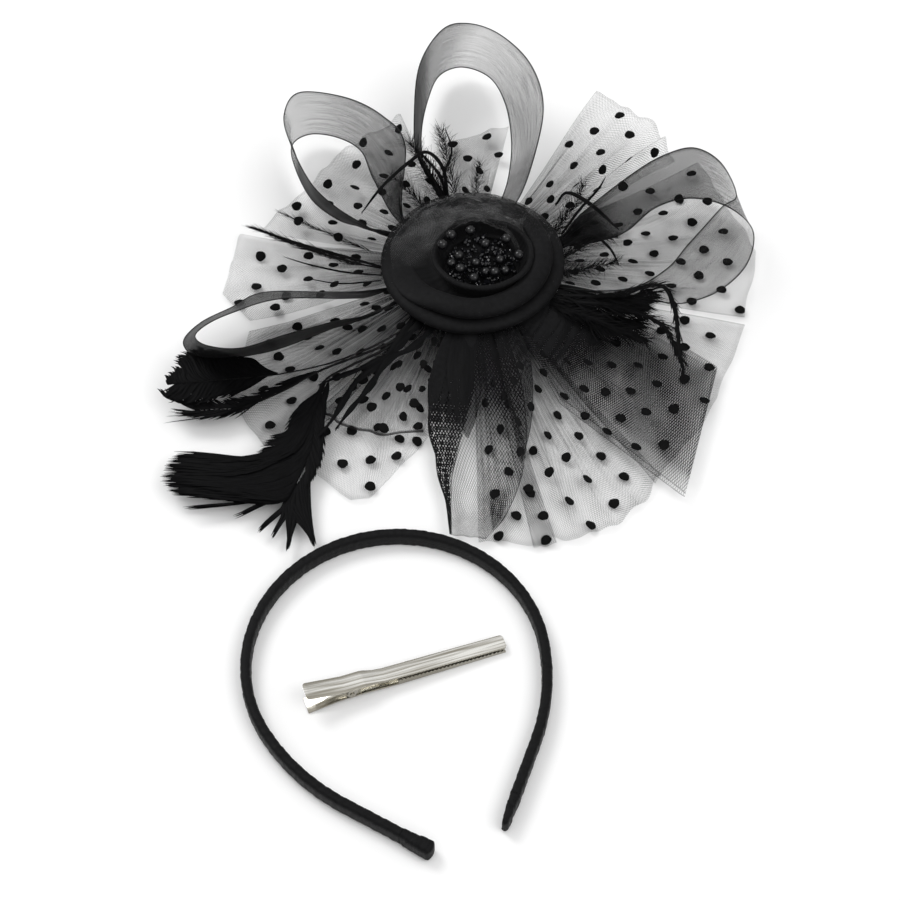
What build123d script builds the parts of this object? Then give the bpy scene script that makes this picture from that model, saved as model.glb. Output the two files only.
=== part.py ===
from build123d import *
import math
import os

# Fascinator headpiece: a feather, tulle and ribbon flower on a felt base, its satin
# headband and its alligator clip.  Millimetres, +Z up.  The origin is the centre of the
# underside of the flower's felt strap, which rests on the plane z = 0.

# ---------------------------------------------------------------- driving dimensions
# Stack of the flower's base, from the strap up
STRAP_THICK = 1.5
STRAP_LENGTH = 46.0
STRAP_WIDTH = 20.0
STRAP_LEG = 5.0
SLOT_HEIGHT = 5.0
FELT_RADIUS = 26.0
FELT_THICK = 1.5
BUCKRAM_RADIUS = 24.0
BUCKRAM_THICK = 1.0
FELT_BOTTOM = STRAP_THICK + SLOT_HEIGHT
BUCKRAM_BOTTOM = FELT_BOTTOM + FELT_THICK
TIER_0 = BUCKRAM_BOTTOM + BUCKRAM_THICK + 0.1
TIER_STEP = 0.9
TIER_1 = TIER_0 + TIER_STEP
TIER_2 = TIER_1 + TIER_STEP
SHEET = 0.8
ROSETTE_BOTTOM = TIER_2 + 1.1

# Rolled rosette and its cup
BRIM_RADIUS = 40.8
ROLL_HALF_WIDTH = 4.4
ROLL_HALF_HEIGHT = 2.9
UPPER_ROLL_RADIUS = 31.6
ROSETTE_PLATE_RADIUS = 31.0
ROSETTE_PLATE_THICK = 1.0
NET_THICK = 0.8
CUP_X = 4.5
CUP_Y = -3.0
CUP_FOOT_RADIUS = 17.5
CUP_RIM_RADIUS = 21.5
CUP_WALL = 1.7
CUP_RIM_Z = 26.0
LINING_THICK = 1.0
PEARL_RADIUS = 2.3
SEED_RADIUS = 0.9
WIRE_RADIUS = 0.25

# Ribbon loops, standing on edge
RIBBON_WALL = 0.8
LOOP_BOTTOM = 8.2
LEFT_LOOP_BOTTOM = 13.0
LOOP_TOP = 43.0
GATHER_RADIUS = 46.0

# Headband, lying on its edge in front of the flower
BAND_X = -31.0
BAND_Y = -197.0
BAND_TURN = 20.5
BAND_WIDTH = 8.0
BAND_THICK = 4.4
BAND_ROUND = 1.9
CORE_THICK = 1.6
CORE_MARGIN = 1.2
CROWN_RADIUS = 59.0
CROWN_SWEEP = 204.0
SHOULDER_RADIUS = 90.0
SHOULDER_SWEEP = 28.0
LEG_LENGTH = 38.0
END_LENGTH = 13.0

# Clip, lying inside the headband; its own X runs from the tails to the jaw tips
CLIP_X = -49.0
CLIP_Y = -208.0
CLIP_TURN = 19.5
CLIP_TAIL = 18.0
CLIP_JAW = 64.0
CLIP_WIDTH = 7.0
LEVER_PLATE_HALF = 3.7
LEVER_PLATE_END = 6.0
LEVER_JAW_HALF = 3.1
CLIP_SHEET = 0.7
PIN_Z = 5.2
PIN_RADIUS = 0.9
PIN_CLEARANCE = 0.05
EAR_RADIUS = 1.9
EAR_THICK = 0.6
TOOTH_PITCH = 1.6
TOOTH_HEIGHT = 0.8

REACH = 170.0
TALL = 60.0

os.makedirs("parts", exist_ok=True)


def finish(solid, label):
    """Label one finished piece and write its STEP file."""
    solid.label = label
    export_step(solid, "parts/" + label + ".step")


def radial_plane(azimuth):
    """Vertical plane through the Z axis: its X points outwards at the azimuth, its Y is +Z."""
    turn = math.radians(azimuth)
    return Plane(
        origin=(0, 0, 0),
        x_dir=(math.cos(turn), math.sin(turn), 0),
        z_dir=(math.sin(turn), -math.cos(turn), 0),
    )


def polar(radius, azimuth):
    """Plan point at a radius and an azimuth in degrees."""
    turn = math.radians(azimuth)
    return (radius * math.cos(turn), radius * math.sin(turn))


def slab_outline(profile, thick):
    """Closed side outline of a sheet whose underside follows (radius, height) points."""
    top = [(radius, height + thick) for radius, height in reversed(profile)]
    return list(profile) + top


def sloping_sheet(label, azimuth, profile, corners, thick=SHEET):
    """Flat-cut sheet that leaves the hub at one azimuth and follows a side profile."""
    with BuildPart() as sheet:
        with BuildSketch(radial_plane(azimuth)):
            with BuildLine():
                Polyline(*slab_outline(profile, thick), close=True)
            make_face()
        extrude(amount=REACH, both=True)
        with BuildSketch(Plane.XY):
            with BuildLine():
                Polyline(*corners, close=True)
            make_face()
        extrude(amount=TALL, mode=Mode.INTERSECT)
    finish(sheet.part, label)


def sloping_vane(label, azimuth, profile, points, thick=0.6):
    """Feather vane: a smooth closed outline in plan that follows a side profile."""
    with BuildPart() as vane:
        with BuildSketch(radial_plane(azimuth)):
            with BuildLine():
                Polyline(*slab_outline(profile, thick), close=True)
            make_face()
        extrude(amount=REACH, both=True)
        with BuildSketch(Plane.XY):
            with BuildLine():
                Spline(*points, periodic=True)
            make_face()
        extrude(amount=TALL, mode=Mode.INTERSECT)
    finish(vane.part, label)


def sloping_strips(label, azimuth, profile, paths, width, thick=0.9):
    """Narrow strips, such as quills, along smooth plan paths that follow a side profile."""
    with BuildPart() as strips:
        with BuildSketch(radial_plane(azimuth)):
            with BuildLine():
                Polyline(*slab_outline(profile, thick), close=True)
            make_face()
        extrude(amount=REACH, both=True)
        with BuildSketch(Plane.XY):
            for path in paths:
                with BuildLine():
                    Spline(*path)
                trace(line_width=width)
        extrude(amount=TALL, mode=Mode.INTERSECT)
    finish(strips.part, label)


def edge_loop(label, azimuth, path, bottom, top):
    """Ribbon loop standing on edge: its ends are gathered flat where they enter the hub."""
    profile = list(bottom) + list(reversed(top))
    with BuildPart() as loop:
        with BuildSketch(radial_plane(azimuth)):
            with BuildLine():
                Polyline(*profile, close=True)
            make_face()
        extrude(amount=REACH, both=True)
        with BuildSketch(Plane.XY):
            with BuildLine():
                Spline(*path)
            trace(line_width=RIBBON_WALL)
        extrude(amount=TALL, mode=Mode.INTERSECT)
    finish(loop.part, label)


# ---------------------------------------------------------------- base of the flower
with BuildPart() as felt_strap:
    with BuildSketch(Plane.XZ.offset(-STRAP_WIDTH / 2)):
        with Locations((0, FELT_BOTTOM / 2)):
            Rectangle(STRAP_LENGTH, FELT_BOTTOM)
        with Locations((0, STRAP_THICK + SLOT_HEIGHT / 2)):
            Rectangle(STRAP_LENGTH - 2 * STRAP_LEG, SLOT_HEIGHT, mode=Mode.SUBTRACT)
    extrude(amount=STRAP_WIDTH)
    fillet(felt_strap.edges().filter_by(Axis.Z), 1.5)
finish(felt_strap.part, "felt_strap")

with BuildPart() as felt_backing:
    with BuildSketch(Plane.XY.offset(FELT_BOTTOM)):
        Circle(FELT_RADIUS)
    extrude(amount=FELT_THICK)
finish(felt_backing.part, "felt_backing")

with BuildPart() as buckram_base:
    with BuildSketch(Plane.XY.offset(BUCKRAM_BOTTOM)):
        Circle(BUCKRAM_RADIUS)
    extrude(amount=BUCKRAM_THICK)
finish(buckram_base.part, "buckram_base")

# Overcast stitches round the felt's rim, clear of the strap below
STITCH_COUNT = 28
with BuildPart() as felt_whipstitch:
    with BuildSketch(Plane.XY.offset(FELT_BOTTOM)):
        with PolarLocations(FELT_RADIUS + 0.25, STITCH_COUNT):
            Rectangle(0.5, 0.9)
    extrude(amount=FELT_THICK)
    with BuildSketch(Plane.XY.offset(FELT_BOTTOM)):
        Circle(FELT_RADIUS)
    extrude(amount=FELT_THICK, mode=Mode.SUBTRACT)
finish(felt_whipstitch.part, "felt_whipstitch")

# ---------------------------------------------------------------- rolled rosette
with BuildPart() as rosette_plate:
    with BuildSketch(Plane.XY.offset(ROSETTE_BOTTOM)):
        Circle(ROSETTE_PLATE_RADIUS)
    extrude(amount=ROSETTE_PLATE_THICK)
finish(rosette_plate.part, "rosette_plate")

PLATE_TOP = ROSETTE_BOTTOM + ROSETTE_PLATE_THICK
LOWER_ROLL_Z = ROSETTE_BOTTOM + ROLL_HALF_HEIGHT
UPPER_ROLL_Z = LOWER_ROLL_Z + 2 * ROLL_HALF_HEIGHT + 0.1

with BuildPart() as brim_roll_lower:
    with BuildSketch(Plane.XZ):
        with Locations((BRIM_RADIUS - ROLL_HALF_WIDTH, LOWER_ROLL_Z)):
            Ellipse(ROLL_HALF_WIDTH, ROLL_HALF_HEIGHT)
    revolve(axis=Axis.Z)
finish(brim_roll_lower.part, "brim_roll_lower")

with BuildPart() as brim_roll_upper:
    with BuildSketch(Plane.XZ):
        with Locations((UPPER_ROLL_RADIUS, UPPER_ROLL_Z)):
            Ellipse(ROLL_HALF_WIDTH, ROLL_HALF_HEIGHT)
    revolve(axis=Axis.Z)
finish(brim_roll_upper.part, "brim_roll_upper")

with BuildPart() as brim_net:
    with BuildSketch(Plane.XY.offset(PLATE_TOP)):
        Circle(ROSETTE_PLATE_RADIUS)
        with Locations((CUP_X, CUP_Y)):
            Circle(CUP_FOOT_RADIUS + 0.4, mode=Mode.SUBTRACT)
    extrude(amount=NET_THICK)
finish(brim_net.part, "brim_net")

cup_axis = Axis((CUP_X, CUP_Y, 0), (0, 0, 1))
with BuildPart() as cup_wall:
    with BuildSketch(Plane.XZ.offset(-CUP_Y)):
        with BuildLine():
            Polyline(
                (CUP_X + CUP_FOOT_RADIUS - CUP_WALL, PLATE_TOP),
                (CUP_X + CUP_FOOT_RADIUS, PLATE_TOP),
                (CUP_X + CUP_RIM_RADIUS, CUP_RIM_Z),
                (CUP_X + CUP_RIM_RADIUS - CUP_WALL, CUP_RIM_Z),
                close=True,
            )
        make_face()
    revolve(axis=cup_axis)
    fillet(cup_wall.edges().group_by(Axis.Z)[-1], CUP_WALL * 0.45)
finish(cup_wall.part, "cup_wall")

LINING_RADIUS = CUP_FOOT_RADIUS - CUP_WALL - 0.2
with BuildPart() as cup_lining:
    with BuildSketch(Plane.XY.offset(PLATE_TOP)):
        with Locations((CUP_X, CUP_Y)):
            Circle(LINING_RADIUS)
    extrude(amount=LINING_THICK)
finish(cup_lining.part, "cup_lining")
LINING_TOP = PLATE_TOP + LINING_THICK

# ---------------------------------------------------------------- beads in the cup
# Pearls on wires: radius and azimuth from the cup's axis, and the pearl's height
PEARLS = [
    (15.5, 152, 27.0),
    (12.0, 116, 26.0),
    (17.5, 178, 28.5),
    (12.0, 30, 26.0),
    (16.0, 350, 25.5),
    (10.5, 188, 23.5),
    (14.5, 200, 22.5),
    (4.5, 230, 21.0),
    (8.5, 280, 20.5),
    (8.0, 345, 21.5),
    (13.0, 320, 21.5),
    (14.0, 226, 25.0),
    (15.0, 255, 24.0),
    (12.0, 296, 23.5),
    (5.0, 75, 24.0),
]
pearl_places = []
wire_places = []
for pearl_radius, pearl_azimuth, pearl_z in PEARLS:
    across, along = polar(pearl_radius, pearl_azimuth)
    pearl_places.append((CUP_X + across, CUP_Y + along, pearl_z))
    foot_x, foot_y = polar(min(pearl_radius * 0.75, LINING_RADIUS - 3), pearl_azimuth)
    wire_places.append((CUP_X + foot_x, CUP_Y + foot_y))

with BuildPart() as pearl_beads:
    with Locations(*pearl_places):
        Sphere(PEARL_RADIUS)
finish(pearl_beads.part, "pearl_beads")

# A straight wire from the lining to the underside of each pearl
with BuildPart() as bead_wires:
    for foot, place in zip(wire_places, pearl_places):
        foot_point = Vector(foot[0], foot[1], LINING_TOP)
        reach = Vector(*place) - foot_point
        wire_plane = Plane(origin=foot_point, z_dir=reach)
        with BuildSketch(wire_plane):
            Circle(WIRE_RADIUS)
        extrude(amount=reach.length - PEARL_RADIUS - 0.02)
    with BuildSketch(Plane.XY.offset(LINING_TOP - 1)):
        with Locations((CUP_X, CUP_Y)):
            Circle(LINING_RADIUS)
    extrude(amount=1, mode=Mode.SUBTRACT)
finish(bead_wires.part, "bead_wires")

# Seed beads scattered on the lining by the golden angle, clear of the wires' feet
SEED_COUNT = 60
GOLDEN_ANGLE = 137.508
seed_places = []
for index in range(SEED_COUNT):
    seed_radius = (LINING_RADIUS - 1.2) * math.sqrt((index + 0.5) / SEED_COUNT)
    across, along = polar(seed_radius, index * GOLDEN_ANGLE)
    spot = (CUP_X + across, CUP_Y + along)
    clear = all(math.dist(spot, foot) > SEED_RADIUS + 0.7 for foot in wire_places)
    if clear:
        seed_places.append((spot[0], spot[1], LINING_TOP + SEED_RADIUS))

with BuildPart() as seed_beads:
    with Locations(*seed_places):
        Sphere(SEED_RADIUS)
finish(seed_beads.part, "seed_beads")

# ---------------------------------------------------------------- ribbon loops
# Each loop: azimuth, height of its lower edge, and the ribbon's line in plan
RIBBON_LOOPS = {
    "ribbon_loop_back_left": (
        138,
        LOOP_BOTTOM,
        [(-15, 9), (-36, 14), (-58, 26), (-76, 43), (-84, 64), (-78, 79), (-62, 79), (-46, 68), (-33, 48), (-13, 17)],
    ),
    "ribbon_loop_back": (
        90,
        LOOP_BOTTOM,
        [(-5, 18), (-17, 42), (-24, 70), (-21, 100), (-13, 119), (-1, 125), (12, 117), (21, 99), (25, 75), (23, 48),
         (6, 18)],
    ),
    "ribbon_loop_right": (
        10,
        LOOP_BOTTOM,
        [(18, 6), (48, 14), (72, 27), (88, 39), (102, 43), (115, 36), (121, 20), (116, 3), (101, -13), (82, -23),
         (52, -20), (18, -7)],
    ),
    "ribbon_loop_left": (
        202,
        LEFT_LOOP_BOTTOM,
        [(-17, -4), (-44, -22), (-76, -29), (-97, -36), (-113, -46), (-119, -55), (-112, -61), (-94, -61), (-73, -53),
         (-46, -36), (-17, -10)],
    ),
}
for loop_label, (loop_azimuth, loop_low, loop_path) in RIBBON_LOOPS.items():
    loop_under = [(16, TIER_2), (GATHER_RADIUS, TIER_2), (72, loop_low), (REACH, loop_low)]
    loop_over = [(16, TIER_2 + SHEET), (GATHER_RADIUS, TIER_2 + SHEET), (74, LOOP_TOP), (REACH, LOOP_TOP)]
    edge_loop(loop_label, loop_azimuth, loop_path, loop_under, loop_over)

# ---------------------------------------------------------------- folded nets
# Net folded along its left side: a full lower layer, the fold, and a narrower upper layer
FRONT_NET_AZIMUTH = 268
FRONT_NET_GAP = 1.4
FRONT_NET_LINE = [(20, TIER_2), (GATHER_RADIUS, 10.2), (100, 6.4), (REACH, 3.6)]
front_net_outline = [(-4, -19), (-19, -60), (-20, -92), (-9, -136), (-3, -138), (8, -135), (22, -106), (23, -67), (4, -19)]
front_gap_outline = [(-3, -17), (-18, -60), (-19, -92), (-8, -134), (-8, -REACH), (60, -REACH), (60, -17)]
front_open_outline = [(2, -17), (9, -60), (-2, -92), (-8, -128), (-8, -REACH), (60, -REACH), (60, -17)]


def raised(profile, lift):
    """Side profile moved up by a lift."""
    return [(radius, height + lift) for radius, height in profile]


with BuildPart() as front_net_gap:
    with BuildSketch(radial_plane(FRONT_NET_AZIMUTH)):
        with BuildLine():
            Polyline(*slab_outline(raised(FRONT_NET_LINE, SHEET), FRONT_NET_GAP), close=True)
        make_face()
    extrude(amount=REACH, both=True)
    with BuildSketch(Plane.XY):
        with BuildLine():
            Polyline(*front_gap_outline, close=True)
        make_face()
    extrude(amount=TALL, mode=Mode.INTERSECT)

with BuildPart() as front_net_open:
    with BuildSketch(radial_plane(FRONT_NET_AZIMUTH)):
        with BuildLine():
            Polyline(*slab_outline(raised(FRONT_NET_LINE, SHEET), 2 * FRONT_NET_GAP + SHEET), close=True)
        make_face()
    extrude(amount=REACH, both=True)
    with BuildSketch(Plane.XY):
        with BuildLine():
            Polyline(*front_open_outline, close=True)
        make_face()
    extrude(amount=TALL, mode=Mode.INTERSECT)

with BuildPart() as net_fold_front:
    with BuildSketch(radial_plane(FRONT_NET_AZIMUTH)):
        with BuildLine():
            Polyline(*slab_outline(FRONT_NET_LINE, 2 * SHEET + FRONT_NET_GAP), close=True)
        make_face()
    extrude(amount=REACH, both=True)
    with BuildSketch(Plane.XY):
        with BuildLine():
            Polyline(*front_net_outline, close=True)
        make_face()
    extrude(amount=TALL, mode=Mode.INTERSECT)
    add(front_net_gap.part, mode=Mode.SUBTRACT)
    add(front_net_open.part, mode=Mode.SUBTRACT)
    with BuildSketch(Plane.XY.offset(TIER_2 + SHEET)):
        Circle(GATHER_RADIUS)
    extrude(amount=TALL, mode=Mode.SUBTRACT)
finish(net_fold_front.part, "net_fold_front")

# Wide net folded over at its outer end: a lower layer, the fold and an upper layer
FOLD_AZIMUTH = -42
FOLD_REACH = 141.0
net_fold_outline = [
    (14, TIER_1),
    (30, TIER_1),
    (85, 4.5),
    (FOLD_REACH, 3.8),
    (FOLD_REACH, 8.6),
    (85, 9.6),
    (GATHER_RADIUS, TIER_2 + SHEET),
    (14, TIER_2 + SHEET),
    (14, TIER_2 + 0.02),
    (GATHER_RADIUS, TIER_2 + 0.02),
    (85, 9.6 - SHEET),
    (FOLD_REACH - SHEET, 8.6 - SHEET),
    (FOLD_REACH - SHEET, 3.8 + SHEET),
    (85, 4.5 + SHEET),
    (30, TIER_1 + SHEET),
    (14, TIER_1 + SHEET),
]
with BuildPart() as net_fold_right:
    with BuildSketch(radial_plane(FOLD_AZIMUTH)):
        with BuildLine():
            Polyline(*net_fold_outline, close=True)
        make_face()
    extrude(amount=REACH, both=True)
    with BuildSketch(Plane.XY):
        with BuildLine():
            Polyline((12, -9), (20, -16), (62, -31), (106, -53), (88, -119), (61, -104), (37, -73), (12, -19), close=True)
        make_face()
    extrude(amount=TALL, mode=Mode.INTERSECT)
finish(net_fold_right.part, "net_fold_right")

# ---------------------------------------------------------------- dotted tulle leaves
# Each leaf: azimuth, hub tier, height of its outer end, and its outer corners in plan
ROOT_RADIUS = 13.0
HUB_RADIUS = 30.0
LAND_RADIUS = 85.0
LEAVES = {
    "tulle_leaf_back": (89, TIER_0, 3.0, [(16, 91), (-11, 79)]),
    "tulle_leaf_back_left": (137, TIER_1, 4.2, [(-37, 92), (-63, 67), (-95, 27)]),
    "tulle_leaf_left": (177, TIER_0, 1.3, [(-107, 20), (-110, -9), (-98, -20)]),
    "tulle_leaf_left_low": (214, TIER_0, 1.3, [(-98, -39), (-103, -68), (-89, -91), (-72, -82)]),
    "tulle_leaf_front_left": (245, TIER_1, 3.8, [(-58, -80), (-41, -88), (-23, -84)]),
    "tulle_leaf_front_left_under": (245, TIER_0, 1.3, [(-76, -93), (-66, -106), (-51, -119), (-43, -118), (-20, -86)]),
    "tulle_leaf_front": (278, TIER_0, 1.3, [(7, -141), (32, -141)]),
    "tulle_leaf_front_right": (294, TIER_0, 1.3, [(35, -140), (52, -134), (69, -122), (77, -112)]),
    "tulle_leaf_right_low": (328, TIER_0, 1.3, [(84, -104), (108, -62), (116, -30)]),
    "tulle_leaf_right": (11, TIER_0, 1.3, [(122, -16), (130, 20), (110, 64)]),
    "tulle_leaf_back_right": (49, TIER_1, 11.0, [(86, 66), (60, 106)]),
}
for leaf_label, (leaf_azimuth, leaf_tier, leaf_end, leaf_corners) in LEAVES.items():
    leaf_profile = [(8, leaf_tier), (HUB_RADIUS, leaf_tier), (LAND_RADIUS, leaf_end), (REACH, leaf_end)]
    first_azimuth = math.degrees(math.atan2(leaf_corners[0][1], leaf_corners[0][0]))
    last_azimuth = math.degrees(math.atan2(leaf_corners[-1][1], leaf_corners[-1][0]))
    leaf_outline = [polar(ROOT_RADIUS, first_azimuth)] + leaf_corners + [polar(ROOT_RADIUS, last_azimuth)]
    sloping_sheet(leaf_label, leaf_azimuth, leaf_profile, leaf_outline)

# ---------------------------------------------------------------- feathers
# Each feather: azimuth, the quill's side profile, its plan path and the vane's outline
QUILL_WIDTH = 0.9
FEATHERS = {
    "coque_feather_left": (
        212,
        [(20, TIER_2), (GATHER_RADIUS, TIER_2), (84, 8.4), (REACH, 8.4)],
        [(-17, -17), (-33, -40), (-56, -64), (-86, -70), (-118, -60)],
        [(-66, -68), (-84, -60), (-104, -51), (-124, -50), (-131, -65), (-116, -80), (-100, -82), (-82, -78)],
    ),
    "coque_feather_front_left": (
        228,
        [(20, TIER_2), (GATHER_RADIUS, TIER_2), (84, 6.4), (REACH, 6.4)],
        [(-12, -20), (-26, -43), (-54, -72), (-68, -92), (-92, -104), (-124, -108)],
        [(-56, -77), (-68, -82), (-78, -94), (-100, -100), (-128, -98), (-133, -110), (-116, -120), (-90, -124),
         (-80, -138), (-68, -138), (-62, -118), (-58, -96)],
    ),
    "marabou_feather_back": (
        113,
        [(20, TIER_2), (GATHER_RADIUS, TIER_2), (62, 22.0), (REACH, 22.0)],
        [(-8, 18), (-18, 36), (-26, 56)],
        [(-21, 43), (-26, 42), (-32, 52), (-33, 63), (-29, 67), (-25, 57)],
    ),
    "hackle_feather_left": (
        180,
        [(20, TIER_2), (GATHER_RADIUS, TIER_2), (70, 12.6), (REACH, 12.6)],
        [(-18, -1), (-44, -2), (-72, 3), (-94, 14)],
        [(-46, -7), (-64, -6), (-84, 4), (-98, 16), (-84, 13), (-64, 8), (-46, 4)],
    ),
    "marabou_feather_right": (
        2,
        [(20, TIER_2), (GATHER_RADIUS, TIER_2), (60, 20.0), (REACH, 20.0)],
        [(18, 0), (44, 1), (66, 2)],
        [(44, -7), (56, -9), (68, -3), (72, 2), (66, 9), (54, 11), (46, 8)],
    ),
    "coque_feather_right": (
        333,
        [(20, TIER_2), (GATHER_RADIUS, TIER_2), (64, 12.4), (REACH, 12.4)],
        [(19, -10), (44, -21.5), (64, -34), (80, -41), (90, -54), (92, -68)],
        [(56, -35), (66, -31), (80, -34), (92, -46), (97, -60), (93, -71), (86, -62), (76, -50), (62, -42)],
    ),
}
for feather_label, (feather_azimuth, quill_profile, quill_path, vane_outline) in FEATHERS.items():
    sloping_strips(feather_label + "_quill", feather_azimuth, quill_profile, [quill_path], QUILL_WIDTH)
    vane_profile = [(radius, height + QUILL_WIDTH + 0.02) for radius, height in quill_profile]
    sloping_vane(feather_label + "_vane", feather_azimuth, vane_profile, vane_outline)

# Narrow stripped barbs beside the two left feathers, and one curled barb at the back
BIOT_PROFILE = [(20, TIER_2), (GATHER_RADIUS, TIER_2), (84, 6.4), (REACH, 6.4)]
BIOT_PATHS = [
    [(-18.5, -15.5), (-38, -37), (-64, -58), (-82, -67)],
    [(-15, -19), (-31, -45), (-52, -62), (-63, -69)],
    [(-9, -21), (-22, -46), (-44, -74), (-53, -92)],
]
sloping_strips("biot_strips", 228, BIOT_PROFILE, BIOT_PATHS, 1.2, 0.6)

CURL_Z = LOOP_TOP + 0.4
with BuildPart() as curled_biot:
    with BuildSketch(Plane.XY.offset(CURL_Z)):
        with BuildLine():
            Spline((-12, 46), (-20, 50), (-33, 42), (-42, 30), (-49, 14))
        trace(line_width=1.6)
    extrude(amount=0.6)
    with BuildSketch(Plane.XY.offset(TIER_2 + SHEET)):
        with Locations((-12, 46)):
            Circle(0.5)
    extrude(amount=CURL_Z - TIER_2 - SHEET)
finish(curled_biot.part, "curled_biot")

# ---------------------------------------------------------------- headband
band_plane = Plane(origin=(BAND_X, BAND_Y, 0)).rotated((0, 0, BAND_TURN))


def band_points():
    """Tip of the right leg and the leg's direction, in the band's own plane."""
    half_crown = math.radians(CROWN_SWEEP / 2 - 90)
    leg_turn = half_crown + math.radians(SHOULDER_SWEEP)
    across = CROWN_RADIUS * math.cos(half_crown)
    across -= SHOULDER_RADIUS * (math.cos(half_crown) - math.cos(leg_turn))
    down = CROWN_RADIUS * math.sin(half_crown)
    down += SHOULDER_RADIUS * (math.sin(leg_turn) - math.sin(half_crown))
    tip = (across - LEG_LENGTH * math.sin(leg_turn), -down - LEG_LENGTH * math.cos(leg_turn))
    return tip, (math.sin(leg_turn), math.cos(leg_turn))


def leg_point(tip, direction, distance):
    """Point on the right leg at a distance from its tip."""
    return (tip[0] + direction[0] * distance, tip[1] + direction[1] * distance)


def band_face(width, trim):
    """Face of constant width along the band's line, stopping short of both tips."""
    tip, direction = band_points()
    start = leg_point(tip, direction, trim)
    with BuildSketch() as face:
        with BuildLine():
            leg = Line(start, leg_point(tip, direction, LEG_LENGTH))
            rise = JernArc(leg @ 1, leg % 1, SHOULDER_RADIUS, SHOULDER_SWEEP)
            crown = JernArc(rise @ 1, rise % 1, CROWN_RADIUS, CROWN_SWEEP)
            fall = JernArc(crown @ 1, crown % 1, SHOULDER_RADIUS, SHOULDER_SWEEP)
            Line(fall @ 1, fall @ 1 + (fall % 1) * (LEG_LENGTH - trim))
        trace(line_width=width)
    return face.sketch


with BuildPart() as headband_core:
    with BuildSketch(band_plane.offset(CORE_MARGIN)):
        add(band_face(CORE_THICK, END_LENGTH + 1))
    extrude(amount=BAND_WIDTH - 2 * CORE_MARGIN)
finish(headband_core.part, "headband_core")

with BuildPart() as headband_wrap:
    with BuildSketch(band_plane):
        add(band_face(BAND_THICK, END_LENGTH))
    extrude(amount=BAND_WIDTH)
    long_edges = headband_wrap.edges().filter_by(lambda edge: edge.length > BAND_WIDTH + 1)
    fillet(long_edges, BAND_ROUND)
    add(headband_core.part, mode=Mode.SUBTRACT)
finish(headband_wrap.part, "headband_wrap")

# Folded satin ends: a broad one on the left tip and a slim, pointed one on the right
RIGHT_TIP, LEG_DIRECTION = band_points()


def band_end(label, side, root_width, tip_width):
    """Folded end of the wrap: a tapered block closing one tip of the band."""
    root_x, root_y = leg_point(RIGHT_TIP, LEG_DIRECTION, END_LENGTH)
    angle = math.degrees(math.atan2(-LEG_DIRECTION[1], -LEG_DIRECTION[0] * side))
    end_plane = band_plane * Location((root_x * side, root_y, 0), (0, 0, angle))
    with BuildPart() as end:
        with BuildSketch(Plane(end_plane)):
            with BuildLine():
                Polyline(
                    (0, -root_width / 2),
                    (END_LENGTH - 1.5, -tip_width / 2),
                    (END_LENGTH, -tip_width / 4),
                    (END_LENGTH, tip_width / 4),
                    (END_LENGTH - 1.5, tip_width / 2),
                    (0, root_width / 2),
                    close=True,
                )
            make_face()
        extrude(amount=BAND_WIDTH)
    finish(end.part, label)


band_end("headband_end_right", 1, BAND_THICK, 2.6)
band_end("headband_end_left", -1, BAND_THICK, 6.2)

# ---------------------------------------------------------------- alligator clip
clip_plane = Plane(origin=(CLIP_X, CLIP_Y, 0)).rotated((0, 0, CLIP_TURN))
# Side view plane: its X runs along the clip and its Y is +Z
side_plane = Plane(origin=clip_plane.origin, x_dir=clip_plane.x_dir, z_dir=-clip_plane.y_dir)


def side_strip(points, thick):
    """Closed side outline of bent sheet metal whose underside follows the points."""
    return list(points) + [(x, z + thick) for x, z in reversed(points)]


LOWER_LINE = [(-CLIP_TAIL, 0.0), (-6, 1.9), (5, 2.0), (14, 1.2), (CLIP_JAW, 0.0)]
UPPER_LINE = [(-CLIP_TAIL, 11.2), (-2.5, 7.6), (5, 7.4), (14, 5.2), (CLIP_JAW + 0.6, 2.3)]
EAR_OFFSET = 2.6

# Serrated flange: a row of teeth along each side of the lower jaw
tooth_count = int((CLIP_JAW - 18) / TOOTH_PITCH)
tooth_line = []
for index in range(tooth_count):
    tooth_x = CLIP_JAW - 1 - index * TOOTH_PITCH
    gap_top = 2.05 + (CLIP_JAW - tooth_x) * 0.055
    tooth_line.append((tooth_x, gap_top))
    tooth_line.append((tooth_x - TOOTH_PITCH / 2, gap_top - TOOTH_HEIGHT))
tooth_start = tooth_line[-1][0]

with BuildPart() as clip_lower_jaw:
    with BuildSketch(side_plane):
        with BuildLine():
            Polyline(*side_strip(LOWER_LINE, CLIP_SHEET), close=True)
        make_face()
    extrude(amount=CLIP_WIDTH / 2, both=True)
    for side in (-1, 1):
        flange_offset = side * (CLIP_WIDTH / 2 - EAR_THICK / 2)
        with BuildSketch(side_plane.offset(flange_offset)):
            with BuildLine():
                Polyline(*tooth_line, (tooth_start, 0.9), (CLIP_JAW - 1, 0.4), close=True)
            make_face()
        extrude(amount=EAR_THICK / 2, both=True)
        with BuildSketch(side_plane.offset(side * EAR_OFFSET)):
            with Locations((0, PIN_Z)):
                Circle(EAR_RADIUS)
            with Locations((0, PIN_Z / 2 + 1)):
                Rectangle(2 * EAR_RADIUS, PIN_Z - 2)
            with Locations((0, PIN_Z)):
                Circle(PIN_RADIUS, mode=Mode.SUBTRACT)
        extrude(amount=EAR_THICK / 2, both=True)
    with BuildSketch(side_plane):
        with Locations((0, PIN_Z)):
            Circle(PIN_RADIUS)
    extrude(amount=CLIP_WIDTH, both=True, mode=Mode.SUBTRACT)
finish(clip_lower_jaw.part, "clip_lower_jaw")

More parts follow.
